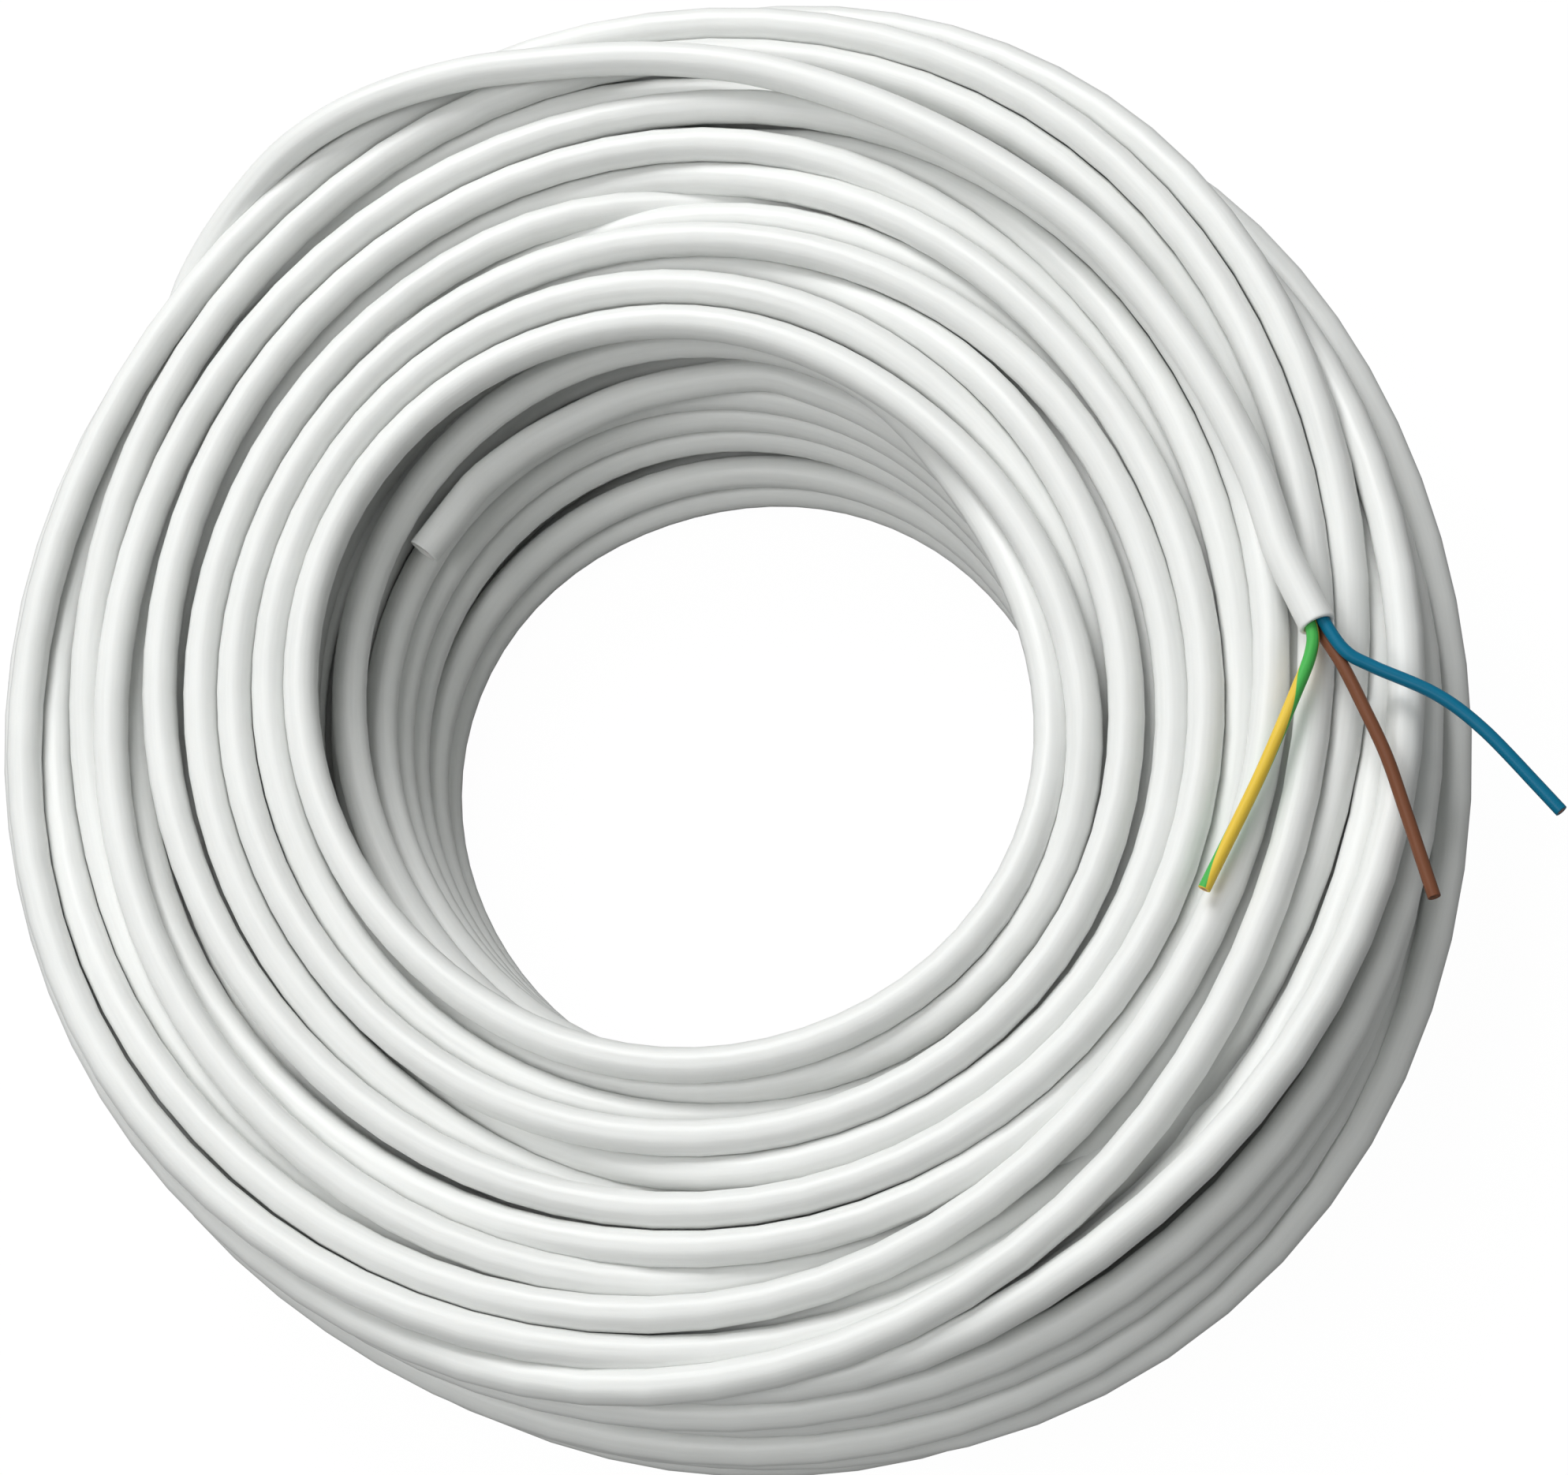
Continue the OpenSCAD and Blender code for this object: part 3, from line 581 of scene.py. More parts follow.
def settle(keys):
    """Radius and height at every cut of every turn."""
    t, angle, by_hand, held, laid = starting_places(keys)
    turns = math.ceil(len(t) / STATIONS)
    # The last turn is filled up with discs that lie far away.
    discs = np.stack([FAR_AWAY + np.arange(turns * STATIONS), np.zeros(turns * STATIONS)], 1)
    cable = discs[:len(t)]
    cable[:] = laid
    bulge = MM * np.interp(angle, *np.transpose(BULGES))
    keep_inside(cable, angle, by_hand, bulge)
    home = cable.copy()
    # Sideways a disc goes home more strongly than up and down, and a held one gives way less.
    pull = np.outer(PULL_HIDDEN + PULL_HELD * held, (1, 0.3))
    gives = np.ones((len(discs), 2))
    gives[:len(t)] -= np.outer(held, (0.9, 0.4))
    for number in range(ROUNDS):
        left = 1 - number / ROUNDS
        cable[:, 1] -= SINKING * left * (1 - held)
        cable += pull * (0.2 + 0.8 * left) * (home - cable)
        ease_along(cable, held, left)
        if number % 8 == 0:
            pairs = near_pairs(discs, turns)
        for _ in range(3 if left > 0.2 else 8):
            push_apart(discs, pairs, gives)
            keep_inside(cable, angle, by_hand, bulge)
    # Where one turn climbs over another the last steps are eased.
    for _ in range(5):
        cable[1:-1] += 0.25 * (cable[:-2] + cable[2:] - 2 * cable[1:-1])
    return t, cable


def length_of(points):
    return float(np.linalg.norm(np.diff(points, axis=0), axis=1).sum())


turn_at, settled = settle(KEYS)
wound = place(START_ANGLE - 360 * turn_at, settled[:, 0], settled[:, 1])
print("wound length", length_of(wound), "turns", turn_at[-1])

# %% [markdown]
# ## The two ends
# Both ends leave the winding along short listed routes, the same as in the CAD source. Each
# runs into a straight piece with a square cut. The outer end climbs over the shoulder and lies
# across the top layer; the inner end lifts a little off the wall of the bore. A route is a list
# of an angle, how far inside the wall or off the bore, and how far above the height at which the
# end comes to lie.

# %% Ends
# The straight piece before each cut
MOUTH_LEN = 0.014
OUTER_ROUTE = [
    (158, -0.0004, -0.0222), (144, -0.0003, -0.02), (140.2, -0.001, -0.016),
    (136.7, -0.0022, -0.0125), (131.7, -0.0019, -0.0075), (125.4, -0.0015, -0.003),
    (120.1, -0.0001, -0.001), (114.9, 0.0024, 0), (109.4, 0.0051, 0), (104.5, 0.0079, 0),
    (94.2, 0.0122, 0), (83.9, 0.0153, 0), (73.6, 0.0184, 0), (63.3, 0.0203, 0), (53.1, 0.0212, 0),
    (43, 0.0214, 0), (32.9, 0.0222, 0), (22.9, 0.0223, 0), (13.1, 0.0217, 0), (6.2, 0.0213, 0),
    (3.5, 0.0207, 0),
]
INNER_ROUTE = [
    (101.9, 0.0033, 0), (117.9, 0.0045, 0.0004), (127.7, 0.0044, 0.0009),
    (132.1, 0.0043, 0.0012), (134.7, 0.0044, 0.0012),
]


def heading(degrees):
    """The level direction at an angle."""
    return np.array([math.cos(math.radians(degrees)), math.sin(math.radians(degrees)), 0])


def smooth_curve(points, step):
    """A smooth curve through the points, with pieces of about the step's length."""
    points = [np.array(p, float) for p in points]
    made = []
    for i in range(len(points) - 1):
        a, b, c, d = points[max(i - 1, 0)], points[i], points[i + 1], points[min(i + 2, len(points) - 1)]
        pieces = max(1, math.ceil(np.linalg.norm(c - b) / step))
        for f in np.arange(pieces) / pieces:
            made.append(0.5 * twice_between(a, b, c, d, f))
    return np.array(made + [points[-1]])


MOUTH_WAY = heading(291)
INNER_WAY = heading(232)
outer_points = [place(a, OUTER_R - inset, REST_Z + over) for a, inset, over in OUTER_ROUTE]
inner_points = [place(a, bore_r(INNER_END_Z) - off, INNER_END_Z + over) for a, off, over in INNER_ROUTE]
MOUTH = outer_points[-1] + MOUTH_WAY * MOUTH_LEN
INNER_FACE = inner_points[-1] + INNER_WAY * MOUTH_LEN
print("mouth at", MOUTH.round(4), "inner face at", INNER_FACE.round(4))

# %% [markdown]
# ## One path from cut to cut
# The two ends and the winding between them are joined into the path of the whole cable. Where an
# end meets the winding, places that lie too close together are left out, because a skin would
# crease there.

# %% Whole path
PATH_STEP = 0.003
outer_end = smooth_curve([wound[-3], wound[-1]] + outer_points + [MOUTH], PATH_STEP)
inner_end = smooth_curve([wound[2], wound[0]] + inner_points + [INNER_FACE], PATH_STEP)
cable_path = np.concatenate([inner_end[::-1], wound[3:-3], outer_end])
steps = np.linalg.norm(np.diff(cable_path, axis=0), axis=1)
cable_path = cable_path[np.concatenate([[True], steps > PATH_STEP / 4])]

# %% [markdown]
# ## Cores
# Three insulated cores lie side by side inside the sheath. Past its mouth they fan out to where
# their tips were left. A fan is a list of how far along the sheath's way, how far to its left and
# how far up. Each tip ends in a short straight piece.

# %% Core paths
UP = np.array([0, 0, 1.0])
# A core's width, the gap to whatever lies next to it, the hole that its wires fill, and how far
# its middle is from the sheath's
CORE_D = 0.00226
CORE_GAP = 0.00003
CORE_HOLE_R = 0.00062 + CORE_GAP
LAY_R = (CORE_D + 2 * CORE_GAP) / math.sqrt(3)
TIP_LEN = 0.006
CORE_PATH_STEP = 0.0008
# The angle round the sheath's middle at which each core lies inside it
CORE_AT = {"blue": 30, "earth": 150, "brown": 270}
FANS = {
    "blue": [(0.0066, 0.0022, 0.0003), (0.0111, 0.0053, -0.0003), (0.0202, 0.0128, -0.0009),
             (0.0293, 0.0173, -0.0015), (0.0423, 0.0212, -0.002)],
    "brown": [(0.0078, 0.0008, -0.0011), (0.017, 0.0009, -0.001), (0.0267, 0.0007, -0.001),
              (0.037, -0.0005, -0.001), (0.0473, -0.0018, -0.001)],
    "earth": [(0.0045, -0.0033, 0.0004), (0.0104, -0.0091, 0), (0.021, -0.0202, -0.0004),
              (0.0315, -0.0323, -0.0008)],
}


def left_of(way):
    left = np.cross(UP, way)
    return left / np.linalg.norm(left)


def core_path(colour):
    """The middle line of a core, from inside the sheath to its tip."""
    left = left_of(MOUTH_WAY)
    at = math.radians(CORE_AT[colour])
    inside = LAY_R * (math.cos(at) * left + math.sin(at) * UP)
    points = [MOUTH - MOUTH_WAY * back + inside for back in (MOUTH_LEN, MOUTH_LEN / 2, 0)]
    points += [MOUTH + MOUTH_WAY * along + left * aside + UP * up for along, aside, up in FANS[colour]]
    # The tip goes straight on from the last ring of the swept solid in the CAD source.
    coarse = smooth_curve(points, 3 * CORE_D)
    tip_way = coarse[-1] - coarse[-2]
    tip = points[-1] + tip_way / np.linalg.norm(tip_way) * TIP_LEN
    return np.concatenate([smooth_curve(points, CORE_PATH_STEP), [tip]])


core_paths = {colour: core_path(colour) for colour in FANS}
print({colour: round(length_of(path), 4) for colour, path in core_paths.items()})

# %% [markdown]
# ## Skins swept along a path
# The sheath and the cores are the same kind of thing, a round skin along a line, so one geometry
# node group makes them all. It also stores how far along the line each point is and which way it
# faces round the skin, and the materials draw their marks and stripes from these two. A beveled
# curve would give the same tube but not the two attributes.

# %% Sweeping
def link(tree, *pairs):
    for out_socket, in_socket in pairs:
        tree.links.new(out_socket, in_socket)


def stored(tree, name, kind, value):
    """A node that stores a value on every point under a name."""
    node = tree.nodes.new("GeometryNodeStoreNamedAttribute")
    node.data_type = kind
    node.domain = "POINT"
    node.inputs["Name"].default_value = name
    tree.links.new(value, node.inputs["Value"])
    return node


def swept_skin_group():
    """The node group, and its inputs' identifiers by name."""
    tree = bpy.data.node_groups.new("swept_skin", "GeometryNodeTree")
    face = tree.interface
    sockets = {}
    for name, kind in (("Line", "Geometry"), ("Radius", "Float"), ("Sides", "Int"),
                       ("Material", "Material")):
        socket = face.new_socket(name, in_out="INPUT", socket_type="NodeSocket" + kind)
        sockets[name] = socket.identifier
    face.new_socket("Skin", in_out="OUTPUT", socket_type="NodeSocketGeometry")
    new = tree.nodes.new
    given, made = new("NodeGroupInput"), new("NodeGroupOutput")
    level = new("GeometryNodeSetCurveNormal")
    level.mode = "Z_UP"
    spline = new("GeometryNodeSplineParameter")
    along = stored(tree, "along", "FLOAT", spline.outputs["Length"])
    ring = new("GeometryNodeCurvePrimitiveCircle")
    position = new("GeometryNodeInputPosition")
    facing = new("ShaderNodeVectorMath")
    facing.operation = "NORMALIZE"
    rim = stored(tree, "rim", "FLOAT_VECTOR", facing.outputs["Vector"])
    sweep = new("GeometryNodeCurveToMesh")
    smooth = new("GeometryNodeSetShadeSmooth")
    real = new("GeometryNodeRealizeInstances")
    dress = new("GeometryNodeSetMaterial")
    link(tree, (given.outputs["Line"], level.inputs["Curve"]),
         (level.outputs["Curve"], along.inputs["Geometry"]),
         (given.outputs["Sides"], ring.inputs["Resolution"]),
         (given.outputs["Radius"], ring.inputs["Radius"]),
         (position.outputs["Position"], facing.inputs[0]),
         (ring.outputs["Curve"], rim.inputs["Geometry"]),
         (along.outputs["Geometry"], sweep.inputs["Curve"]),
         (rim.outputs["Geometry"], sweep.inputs["Profile Curve"]),
         (sweep.outputs["Mesh"], smooth.inputs["Geometry"]),
         (smooth.outputs["Geometry"], real.inputs["Geometry"]),
         (real.outputs["Geometry"], dress.inputs["Geometry"]),
         (given.outputs["Material"], dress.inputs["Material"]),
         (dress.outputs["Geometry"], made.inputs["Skin"]))
    return tree, sockets


SWEPT_SKIN, SWEPT_SOCKETS = swept_skin_group()
print("swept_skin", len(SWEPT_SKIN.nodes), "nodes, inputs", list(SWEPT_SOCKETS))

# %% [markdown]
# The group is a modifier on a line. Once it is evaluated, the result is copied into a plain mesh
# and the line is thrown away, so each skin ends as one mesh with its place in its points.

# %% Skin along a path
def add_object(name, data):
    made = bpy.data.objects.new(name, data)
    bpy.context.scene.collection.objects.link(made)
    return made


def outward_normals(mesh, path):
    """Flips the skin if its first faces look inward."""
    face = mesh.polygons[0]
    if (face.center - Vector(path[0])).dot(face.normal) < 0:
        mesh.flip_normals()


def swept_skin(name, path, radius, sides, material):
    """A round skin along a path, as a plain mesh at the origin."""
    line = bpy.data.curves.new(name + "_line", "CURVE")
    line.dimensions = "3D"
    spline = line.splines.new("POLY")
    spline.points.add(len(path) - 1)
    spline.points.foreach_set("co", np.c_[path, np.ones(len(path))].ravel())
    holder = add_object(name + "_line", line)
    modifier = holder.modifiers.new("skin", "NODES")
    modifier.node_group = SWEPT_SKIN
    modifier[SWEPT_SOCKETS["Radius"]] = float(radius)
    modifier[SWEPT_SOCKETS["Sides"]] = sides
    modifier[SWEPT_SOCKETS["Material"]] = material
    shown = holder.evaluated_get(bpy.context.evaluated_depsgraph_get())
    mesh = bpy.data.meshes.new_from_object(shown)
    mesh.name = name
    holder.modifiers.remove(modifier)
    bpy.data.objects.remove(holder)
    bpy.data.curves.remove(line)
    outward_normals(mesh, path)
    print(name, len(mesh.vertices), "points", len(mesh.polygons), "faces")
    return add_object(name, mesh)


# %% [markdown]
# ## Cut faces
# A knife leaves the end of a sheath square, with an edge that is very slightly rounded, and the
# hole in it shows how thick the wall is. The outline of that cut is turned round the cable's way,
# as on a lathe. Filling the end of the swept skin would give a flat disc with no hole.

# %% Cut face
# How far the edge of a cut is rounded, as a share of the skin's radius
CUT_EDGE = 0.06


def short_of(path, way, radius):
    """The path, ending where the rounded edge of its cut begins."""
    path = path.copy()
    path[-1] -= way * (2 * CUT_EDGE) * radius
    return path


def cut_face(name, end, way, radius, hole_r, depth, sides, material):
    """A cut: a rounded edge, a flat ring, and the hole's wall inside."""
    edge = CUT_EDGE * radius
    outline = [(-2 * edge, radius), (-edge, 0.99 * radius), (-0.3 * edge, radius - 0.5 * edge),
               (0, radius - 1.2 * edge), (0, hole_r + 0.4 * edge), (-0.4 * edge, hole_r),
               (-depth, hole_r)]
    left = left_of(way)
    top = np.cross(way, left)
    turn = np.arange(sides) * 2 * math.pi / sides
    round_it = np.cos(turn)[:, None] * left + np.sin(turn)[:, None] * top
    points = np.concatenate([end + way * s + round_it * r for s, r in outline])
    k = np.arange(sides)
    after = (k + 1) % sides
    faces = np.concatenate([np.stack([i * sides + k, i * sides + after, (i + 1) * sides + after,
                                      (i + 1) * sides + k], 1) for i in range(len(outline) - 1)])
    mesh = bpy.data.meshes.new(name)
    mesh.from_pydata(points.tolist(), [], faces.tolist())
    mesh.polygons.foreach_set("use_smooth", [True] * len(faces))
    mesh.materials.append(material)
    mesh.update()
    print(name, len(mesh.vertices), "points", len(mesh.polygons), "faces")
    return add_object(name, mesh)


# %% [markdown]
# ## Materials
# The sheath is soft white PVC. It is drawn through a die, so it has faint long marks, and its
# gloss varies a little with handling. The marks follow the cable, so they are drawn from the two
# stored attributes and not from the room's axes. Plain noise in three dimensions would cut across
# the turns and make the cable look like stone.

# %% Marks
def shader_group(name, inputs, outputs):
    """An empty group with its named sockets, and the nodes that stand for them."""
    tree = bpy.data.node_groups.new(name, "ShaderNodeTree")
    for label in inputs:
        tree.interface.new_socket(label, in_out="INPUT", socket_type="NodeSocketFloat")
    for label, kind in outputs:
        tree.interface.new_socket(label, in_out="OUTPUT", socket_type="NodeSocket" + kind)
    return tree, tree.nodes.new("NodeGroupInput"), tree.nodes.new("NodeGroupOutput")


def math_node(tree, operation, *values):
    """The result of a Math node, from numbers and other nodes' results."""
    node = tree.nodes.new("ShaderNodeMath")
    node.operation = operation
    for slot, value in zip(node.inputs, values):
        if isinstance(value, (int, float)):
            slot.default_value = value
        else:
            tree.links.new(value, slot)
    return node.outputs[0]


def attribute(tree, name):
    node = tree.nodes.new("ShaderNodeAttribute")
    node.attribute_name = name
    return node


def noise(tree, vector, scale, detail):
    node = tree.nodes.new("ShaderNodeTexNoise")
    node.inputs["Scale"].default_value = scale
    node.inputs["Detail"].default_value = detail
    tree.links.new(vector, node.inputs["Vector"])
    return node.outputs[0]


def die_marks_group():
    """Long faint marks along a skin, soft patches and fine grain, each from 0 to 1."""
    tree, given, made = shader_group("die_marks", ("Stretch", "Round"),
                                     (("Marks", "Float"), ("Patches", "Float"), ("Grain", "Float")))
    rim = tree.nodes.new("ShaderNodeVectorMath")
    rim.operation = "SCALE"
    split = tree.nodes.new("ShaderNodeSeparateXYZ")
    join = tree.nodes.new("ShaderNodeCombineXYZ")
    place_in = tree.nodes.new("ShaderNodeTexCoord")
    far = math_node(tree, "MULTIPLY", attribute(tree, "along").outputs["Fac"], given.outputs["Stretch"])
    link(tree, (attribute(tree, "rim").outputs["Vector"], rim.inputs[0]),
         (given.outputs["Round"], rim.inputs["Scale"]),
         (rim.outputs[0], split.inputs[0]),
         (far, join.inputs["X"]), (split.outputs["X"], join.inputs["Y"]),
         (split.outputs["Y"], join.inputs["Z"]),
         (noise(tree, join.outputs[0], 1, 4), made.inputs["Marks"]),
         (noise(tree, place_in.outputs["Object"], 38, 2), made.inputs["Patches"]),
         (noise(tree, place_in.outputs["Object"], 2600, 2), made.inputs["Grain"]))
    return tree


DIE_MARKS = die_marks_group()
print("die_marks", len(DIE_MARKS.nodes), "nodes")

# %% [markdown]
# The earth core is green on one side and yellow on the other, all the way along. The two colours
# are one extrusion, so this is a pattern on one skin and not two pieces side by side. The core
# twists, most of all where it bends away from the mouth, and the stripe turns with it.

# %% Earth stripe
# Places along the core and turns of the stripe, both as shares of 1
TWIST = [(0, 1), (0.215, 0.95), (0.29, 0.87), (0.5, 0.43), (0.81, 0.29), (1, 0.035)]
TWIST_START = 0.1
# How sharply green gives way to yellow
STRIPE_EDGE = 0.06


def earth_stripe_group(length, twist):
    """1 on the green side of the earth core, 0 on the yellow side."""
    tree, given, made = shader_group("earth_stripe", (), (("Green", "Float"),))
    share = math_node(tree, "DIVIDE", attribute(tree, "along").outputs["Fac"], length)
    curve = tree.nodes.new("ShaderNodeFloatCurve")
    points = curve.mapping.curves[0].points
    points[0].location, points[1].location = twist[0], twist[-1]
    for point in twist[1:-1]:
        points.new(*point)
    curve.mapping.update()
    tree.links.new(share, curve.inputs["Value"])
    turned = math_node(tree, "SUBTRACT", curve.outputs["Value"], TWIST_START)
    angle = math_node(tree, "MULTIPLY", turned, 2 * math.pi)
    split = tree.nodes.new("ShaderNodeSeparateXYZ")
    tree.links.new(attribute(tree, "rim").outputs["Vector"], split.inputs[0])
    across = math_node(tree, "MULTIPLY", split.outputs["X"], math_node(tree, "COSINE", angle))
    upward = math_node(tree, "MULTIPLY", split.outputs["Y"], math_node(tree, "SINE", angle))
    edge = tree.nodes.new("ShaderNodeMapRange")
    edge.inputs["From Min"].default_value = -STRIPE_EDGE
    edge.inputs["From Max"].default_value = STRIPE_EDGE
    link(tree, (math_node(tree, "ADD", across, upward), edge.inputs["Value"]),
         (edge.outputs["Result"], made.inputs["Green"]))
    return tree


EARTH_STRIPE = earth_stripe_group(length_of(core_paths["earth"]), TWIST)
print("earth_stripe", len(EARTH_STRIPE.nodes), "nodes")

# %% [markdown]
# Three small helpers serve all the materials: one mixes two colours by a mask, one spreads the
# middle of a noise over a range, and one turns a height into bumps.

# %% Material helpers
def new_material(name):
    """A material, its nodes, and its Principled BSDF."""
    material = bpy.data.materials.new(name)
    material.use_nodes = True
    return material, material.node_tree, material.node_tree.nodes["Principled BSDF"]


def colour_mix(tree, factor, dark, light):
    """Dark where the factor is 0, light where it is 1; each is a colour or a node's result."""
    node = tree.nodes.new("ShaderNodeMix")
    node.data_type = "RGBA"
    tree.links.new(factor, node.inputs["Factor"])
    for slot, colour in (("A", dark), ("B", light)):
        socket = [s for s in node.inputs if s.name == slot and s.type == "RGBA"][0]
        if isinstance(colour, tuple):
            socket.default_value = (*colour, 1)
        else:
            tree.links.new(colour, socket)
    return [s for s in node.outputs if s.type == "RGBA"][0]


def spread(tree, value, low, high):
    """A noise, whose values lie mostly from 0.3 to 0.7, spread from low to high."""
    node = tree.nodes.new("ShaderNodeMapRange")
    for name, number in (("From Min", 0.3), ("From Max", 0.7), ("To Min", low), ("To Max", high)):
        node.inputs[name].default_value = number
    tree.links.new(value, node.inputs["Value"])
    return node.outputs["Result"]


def bumps(tree, shader, height, distance, strength):
    """Bumps in the shader's surface, from a height."""
    node = tree.nodes.new("ShaderNodeBump")
    node.inputs["Distance"].default_value = distance
    node.inputs["Strength"].default_value = strength
    link(tree, (height, node.inputs["Height"]), (node.outputs["Normal"], shader.inputs["Normal"]))


# %% [markdown]
# PVC is one function of its colours, so that the same plastic dresses the sheath, the cores and
# the CAD nodes that stay as they are. The sheath has broader marks, more gloss, and lets a little
# light into its surface, as white PVC does.

# %% PVC
PVC_ROUGHNESS = (0.36, 0.48)
# How fine the marks are along a skin and round it
SHEATH_MARKS = (60, 5)
CORE_MARKS = (200, 3)
CORE_GLOSS = 0.2


def pvc(name, colour, marks, gloss, glow=0.0):
    """Soft PVC. Its colour is a dark and a light tone, or a function that makes it from a tone."""
    material, tree, shader = new_material(name)
    group = tree.nodes.new("ShaderNodeGroup")
    group.node_tree = DIE_MARKS
    group.inputs["Stretch"].default_value, group.inputs["Round"].default_value = marks
    half_marks = math_node(tree, "MULTIPLY", group.outputs["Marks"], 0.5)
    half_patches = math_node(tree, "MULTIPLY", group.outputs["Patches"], 0.5)
    tone = spread(tree, math_node(tree, "ADD", half_marks, half_patches), 0, 1)
    base = colour(tree, tone) if callable(colour) else colour_mix(tree, tone, *colour)
    link(tree, (base, shader.inputs["Base Color"]),
         (spread(tree, group.outputs["Patches"], *PVC_ROUGHNESS), shader.inputs["Roughness"]))
    half_grain = math_node(tree, "MULTIPLY", group.outputs["Grain"], 0.5)
    height = math_node(tree, "ADD", group.outputs["Marks"], half_grain)
    bumps(tree, shader, height, 0.00008, 0.35)
    shader.inputs["Specular IOR Level"].default_value = gloss
    shader.inputs["Subsurface Weight"].default_value = glow
    shader.inputs["Subsurface Radius"].default_value = (1.0, 0.9, 0.8)
    shader.inputs["Subsurface Scale"].default_value = 0.0012
    return material


white_sheath = pvc("white_sheath", ((0.78, 0.79, 0.775), (0.85, 0.86, 0.845)), SHEATH_MARKS, 0.5,
                   glow=0.12)
print(white_sheath.name, len(white_sheath.node_tree.nodes), "nodes")

# %% [markdown]
# The cores' insulation is duller than the sheath. On the earth core the stripe chooses between
# green and yellow, and both keep their own light and dark tones.

# %% Core insulation
BLUE = ((0.0, 0.13, 0.235), (0.0, 0.165, 0.29))
BROWN = ((0.16, 0.058, 0.028), (0.2, 0.078, 0.04))
GREEN = ((0.055, 0.4, 0.075), (0.085, 0.48, 0.1))
YELLOW = ((0.74, 0.5, 0.05), (0.85, 0.6, 0.08))


def earth_stripes(tree, tone):
    """Green and yellow, parted by the stripe."""
    stripe = tree.nodes.new("ShaderNodeGroup")
    stripe.node_tree = EARTH_STRIPE
    sides = [colour_mix(tree, tone, *colour) for colour in (YELLOW, GREEN)]
    return colour_mix(tree, stripe.outputs["Green"], *sides)


blue_pvc = pvc("blue_insulation", BLUE, CORE_MARKS, CORE_GLOSS)
brown_pvc = pvc("brown_insulation", BROWN, CORE_MARKS, CORE_GLOSS)
green_pvc = pvc("green_insulation", GREEN, CORE_MARKS, CORE_GLOSS)
yellow_pvc = pvc("yellow_insulation", YELLOW, CORE_MARKS, CORE_GLOSS)
stripe_pvc = pvc("green_yellow_insulation", earth_stripes, CORE_MARKS, CORE_GLOSS)
print("insulation", [pvc_made.name for pvc_made in (blue_pvc, brown_pvc, stripe_pvc)])

# %% [markdown]
# The wires are bare drawn copper. They are so thin that plain metal with a fine change of tone
# and polish from wire to wire is enough.

# %% Copper
def copper():
    material, tree, shader = new_material("bare_copper")
    place_in = tree.nodes.new("ShaderNodeTexCoord")
    value = noise(tree, place_in.outputs["Object"], 1400, 3)
    tone = spread(tree, value, 0, 1)
    link(tree, (colour_mix(tree, tone, (0.32, 0.13, 0.06), (0.75, 0.36, 0.2)), shader.inputs["Base Color"]),
         (spread(tree, value, 0.28, 0.5), shader.inputs["Roughness"]))
    shader.inputs["Metallic"].default_value = 1.0
    return material


bare_copper = copper()
print(bare_copper.name, len(bare_copper.node_tree.nodes), "nodes")

# %% [markdown]
# ## The cable
# The whole length is one skin from the inner cut to the mouth, and it stands for the four sheath
# nodes of the CAD. The two cuts show the wall of the sheath, with the cores inside it. The skin
# has only fourteen sides, because it is fifty metres long and is smooth shaded.

# %% Cable
CABLE_SIDES = 14
CUT_SIDES = 32
CUT_DEPTH = 0.012
SHEATH_HOLE_R = CABLE_R - SHEATH_WALL

skin_path = short_of(short_of(cable_path, MOUTH_WAY, CABLE_R)[::-1], INNER_WAY, CABLE_R)[::-1]
cable_sheath = swept_skin("cable_sheath", skin_path, CABLE_R, CABLE_SIDES, white_sheath)
sheath_mouth = cut_face("sheath_mouth", MOUTH, MOUTH_WAY, CABLE_R, SHEATH_HOLE_R, CUT_DEPTH,
                        CUT_SIDES, white_sheath)
sheath_inner_cut = cut_face("sheath_inner_cut", INNER_FACE, INNER_WAY, CABLE_R, SHEATH_HOLE_R,
                            CUT_DEPTH, CUT_SIDES, white_sheath)
for piece in (cable_sheath, sheath_mouth, sheath_inner_cut):
    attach(piece, "root")
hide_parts("sheath_coil_turns", "sheath_inner_turns", "sheath_outer_end", "sheath_inner_end")

# %% [markdown]
# ## Stripped cores
# The outer end is stripped, so its three cores lie bare. Each core is a skin like the sheath, with
# a cut face at its tip. A loop makes all three, since only their paths and colours differ. The
# earth core's cut face is so small a ring that one colour, yellow, is enough for it.

# %% Cores
CORE_SIDES = 20
CORE_CUT_DEPTH = 0.004
core_skins = {"blue": (blue_pvc, ("blue_core",)), "brown": (brown_pvc, ("brown_core",)),
              "earth": (stripe_pvc, ("earth_core_green", "earth_core_yellow"))}
for colour, (material, nodes) in core_skins.items():
    path = core_paths[colour]
    tip_way = (path[-1] - path[-2]) / np.linalg.norm(path[-1] - path[-2])
    name = colour + "_core_skin"
    skin = swept_skin(name, short_of(path, tip_way, CORE_D / 2), CORE_D / 2, CORE_SIDES, material)
    tip = cut_face(colour + "_core_tip", path[-1], tip_way, CORE_D / 2, CORE_HOLE_R, CORE_CUT_DEPTH,
                   CORE_SIDES, yellow_pvc if colour == "earth" else material)
    for piece in (skin, tip):
        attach(piece, "root")
    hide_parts(*nodes)

# %% [markdown]
# The bundles of copper wires are the CAD's own solids, and so are the short ends of the cores
# inside the inner cut. Their shapes are right, so they stay and only get their materials.

# %% Wires and inner ends
stay = {"blue_core_inner_end": blue_pvc, "brown_core_inner_end": brown_pvc,
        "earth_core_inner_end_green": green_pvc, "earth_core_inner_end_yellow": yellow_pvc}
for colour in CORE_AT:
    stay[colour + "_conductor"] = bare_copper
    stay[colour + "_conductor_inner_end"] = bare_copper
for name, material in stay.items():
    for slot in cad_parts[name].material_slots:
        slot.material = material
print("dressed as they are", sorted(stay))

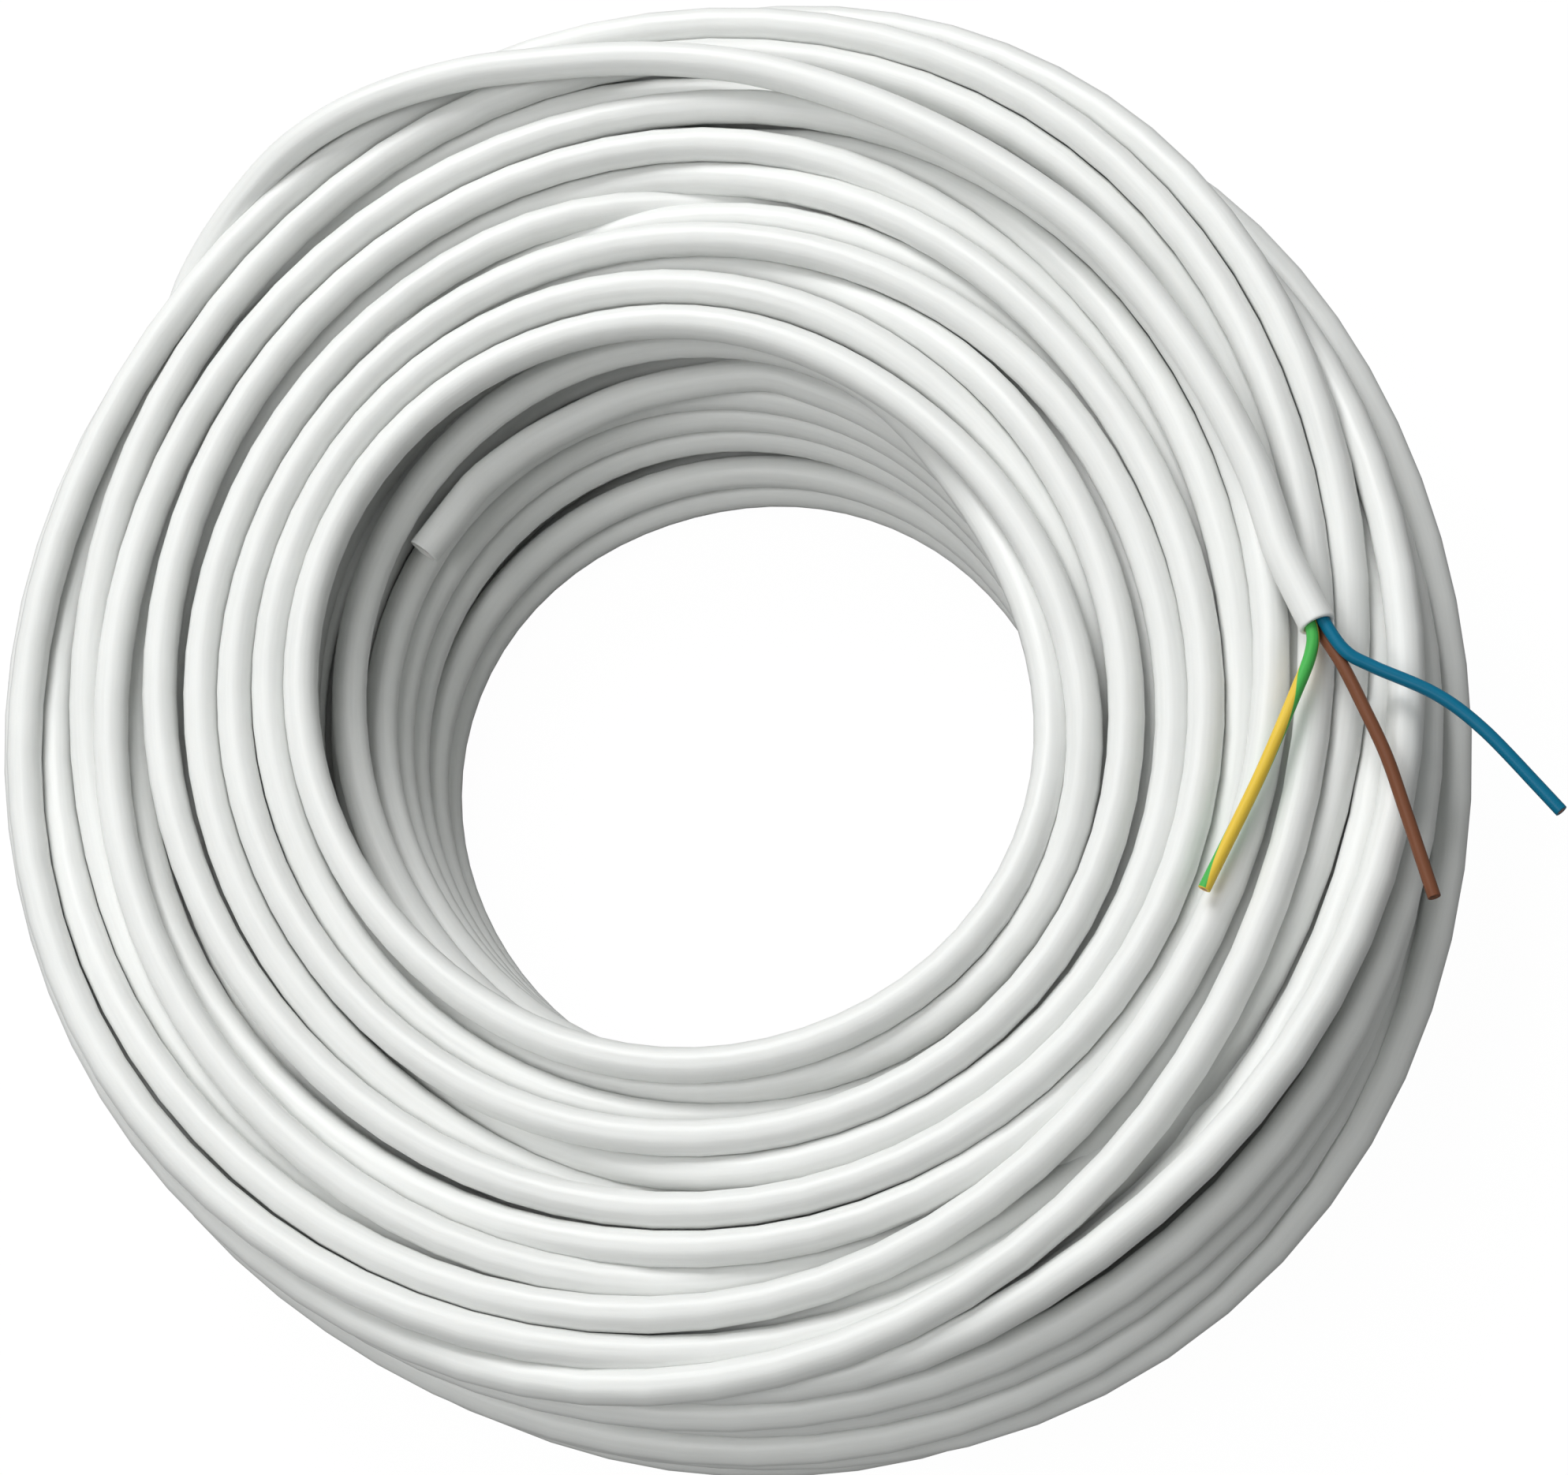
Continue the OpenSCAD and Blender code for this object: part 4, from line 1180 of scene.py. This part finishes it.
# %% [markdown]
# ## Floor
# The ring lies on a white floor. The floor partly glows as the camera sees it, which keeps it
# white and still lets the ring's shadow show. A whiter floor would do that too, but it would also
# throw more light up at the wall.

# %% Floor
FLOOR_GLOW = 1.09
GLOW_SHARE = 0.9
HALF_FLOOR = 3


def white_floor():
    material, tree, shader = new_material("white_floor")
    shader.inputs["Roughness"].default_value = 0.9
    grain = noise(tree, tree.nodes.new("ShaderNodeTexCoord").outputs["Object"], 30, 3)
    grey = colour_mix(tree, grain, (0.26, 0.26, 0.26), (0.3, 0.3, 0.3))
    tree.links.new(grey, shader.inputs["Base Color"])
    glow = tree.nodes.new("ShaderNodeEmission")
    glow.inputs["Strength"].default_value = FLOOR_GLOW
    seen = tree.nodes.new("ShaderNodeLightPath")
    both = tree.nodes.new("ShaderNodeMixShader")
    share = math_node(tree, "MULTIPLY", seen.outputs["Is Camera Ray"], GLOW_SHARE)
    link(tree, (share, both.inputs["Fac"]),
         (shader.outputs["BSDF"], both.inputs[1]), (glow.outputs["Emission"], both.inputs[2]),
         (both.outputs["Shader"], tree.nodes["Material Output"].inputs["Surface"]))
    return material


corners = [(-HALF_FLOOR, -HALF_FLOOR, 0), (HALF_FLOOR, -HALF_FLOOR, 0), (HALF_FLOOR, HALF_FLOOR, 0),
           (-HALF_FLOOR, HALF_FLOOR, 0)]
floor_mesh = bpy.data.meshes.new("floor")
floor_mesh.from_pydata(corners, [], [(0, 1, 2, 3)])
floor_mesh.materials.append(white_floor())
add_object("floor", floor_mesh)
print("floor", 2 * HALF_FLOOR, "m wide")

# %% [markdown]
# ## Light
# A large soft light stands on the far side, and a weaker one overhead and to the left. Two large
# lamps give soft shadow edges, where small ones would draw every strand's shadow sharply. The
# world adds a faint even light, and is white only where the camera sees it.

# %% Light
SKY_LIGHT = 0.28
SKY_SEEN = 0.76

world = bpy.data.worlds.new("studio")
bpy.context.scene.world = world
world.use_nodes = True
sky = world.node_tree.nodes["Background"]
sky.inputs["Color"].default_value = (0.98, 1, 0.985, 1)
by_camera = world.node_tree.nodes.new("ShaderNodeLightPath").outputs["Is Camera Ray"]
strength = math_node(world.node_tree, "MULTIPLY_ADD", by_camera, SKY_SEEN, SKY_LIGHT)
world.node_tree.links.new(strength, sky.inputs["Strength"])


def soft_light(name, at, size, power):
    """A square lamp that looks at the middle of the ring."""
    lamp = bpy.data.lights.new(name, "AREA")
    lamp.size = size
    lamp.energy = power
    made = add_object(name, lamp)
    made.location = at
    made.rotation_euler = Vector(at).to_track_quat("Z", "Y").to_euler()
    print(name, power, "W at", round(made.location.length, 2), "m")


soft_light("key_light", (-0.35, 1.0, 1.2), 0.8, 16.6)
soft_light("top_light", (-0.6, -0.45, 1.5), 0.9, 9.3)
bpy.context.scene.view_settings.view_transform = "Standard"
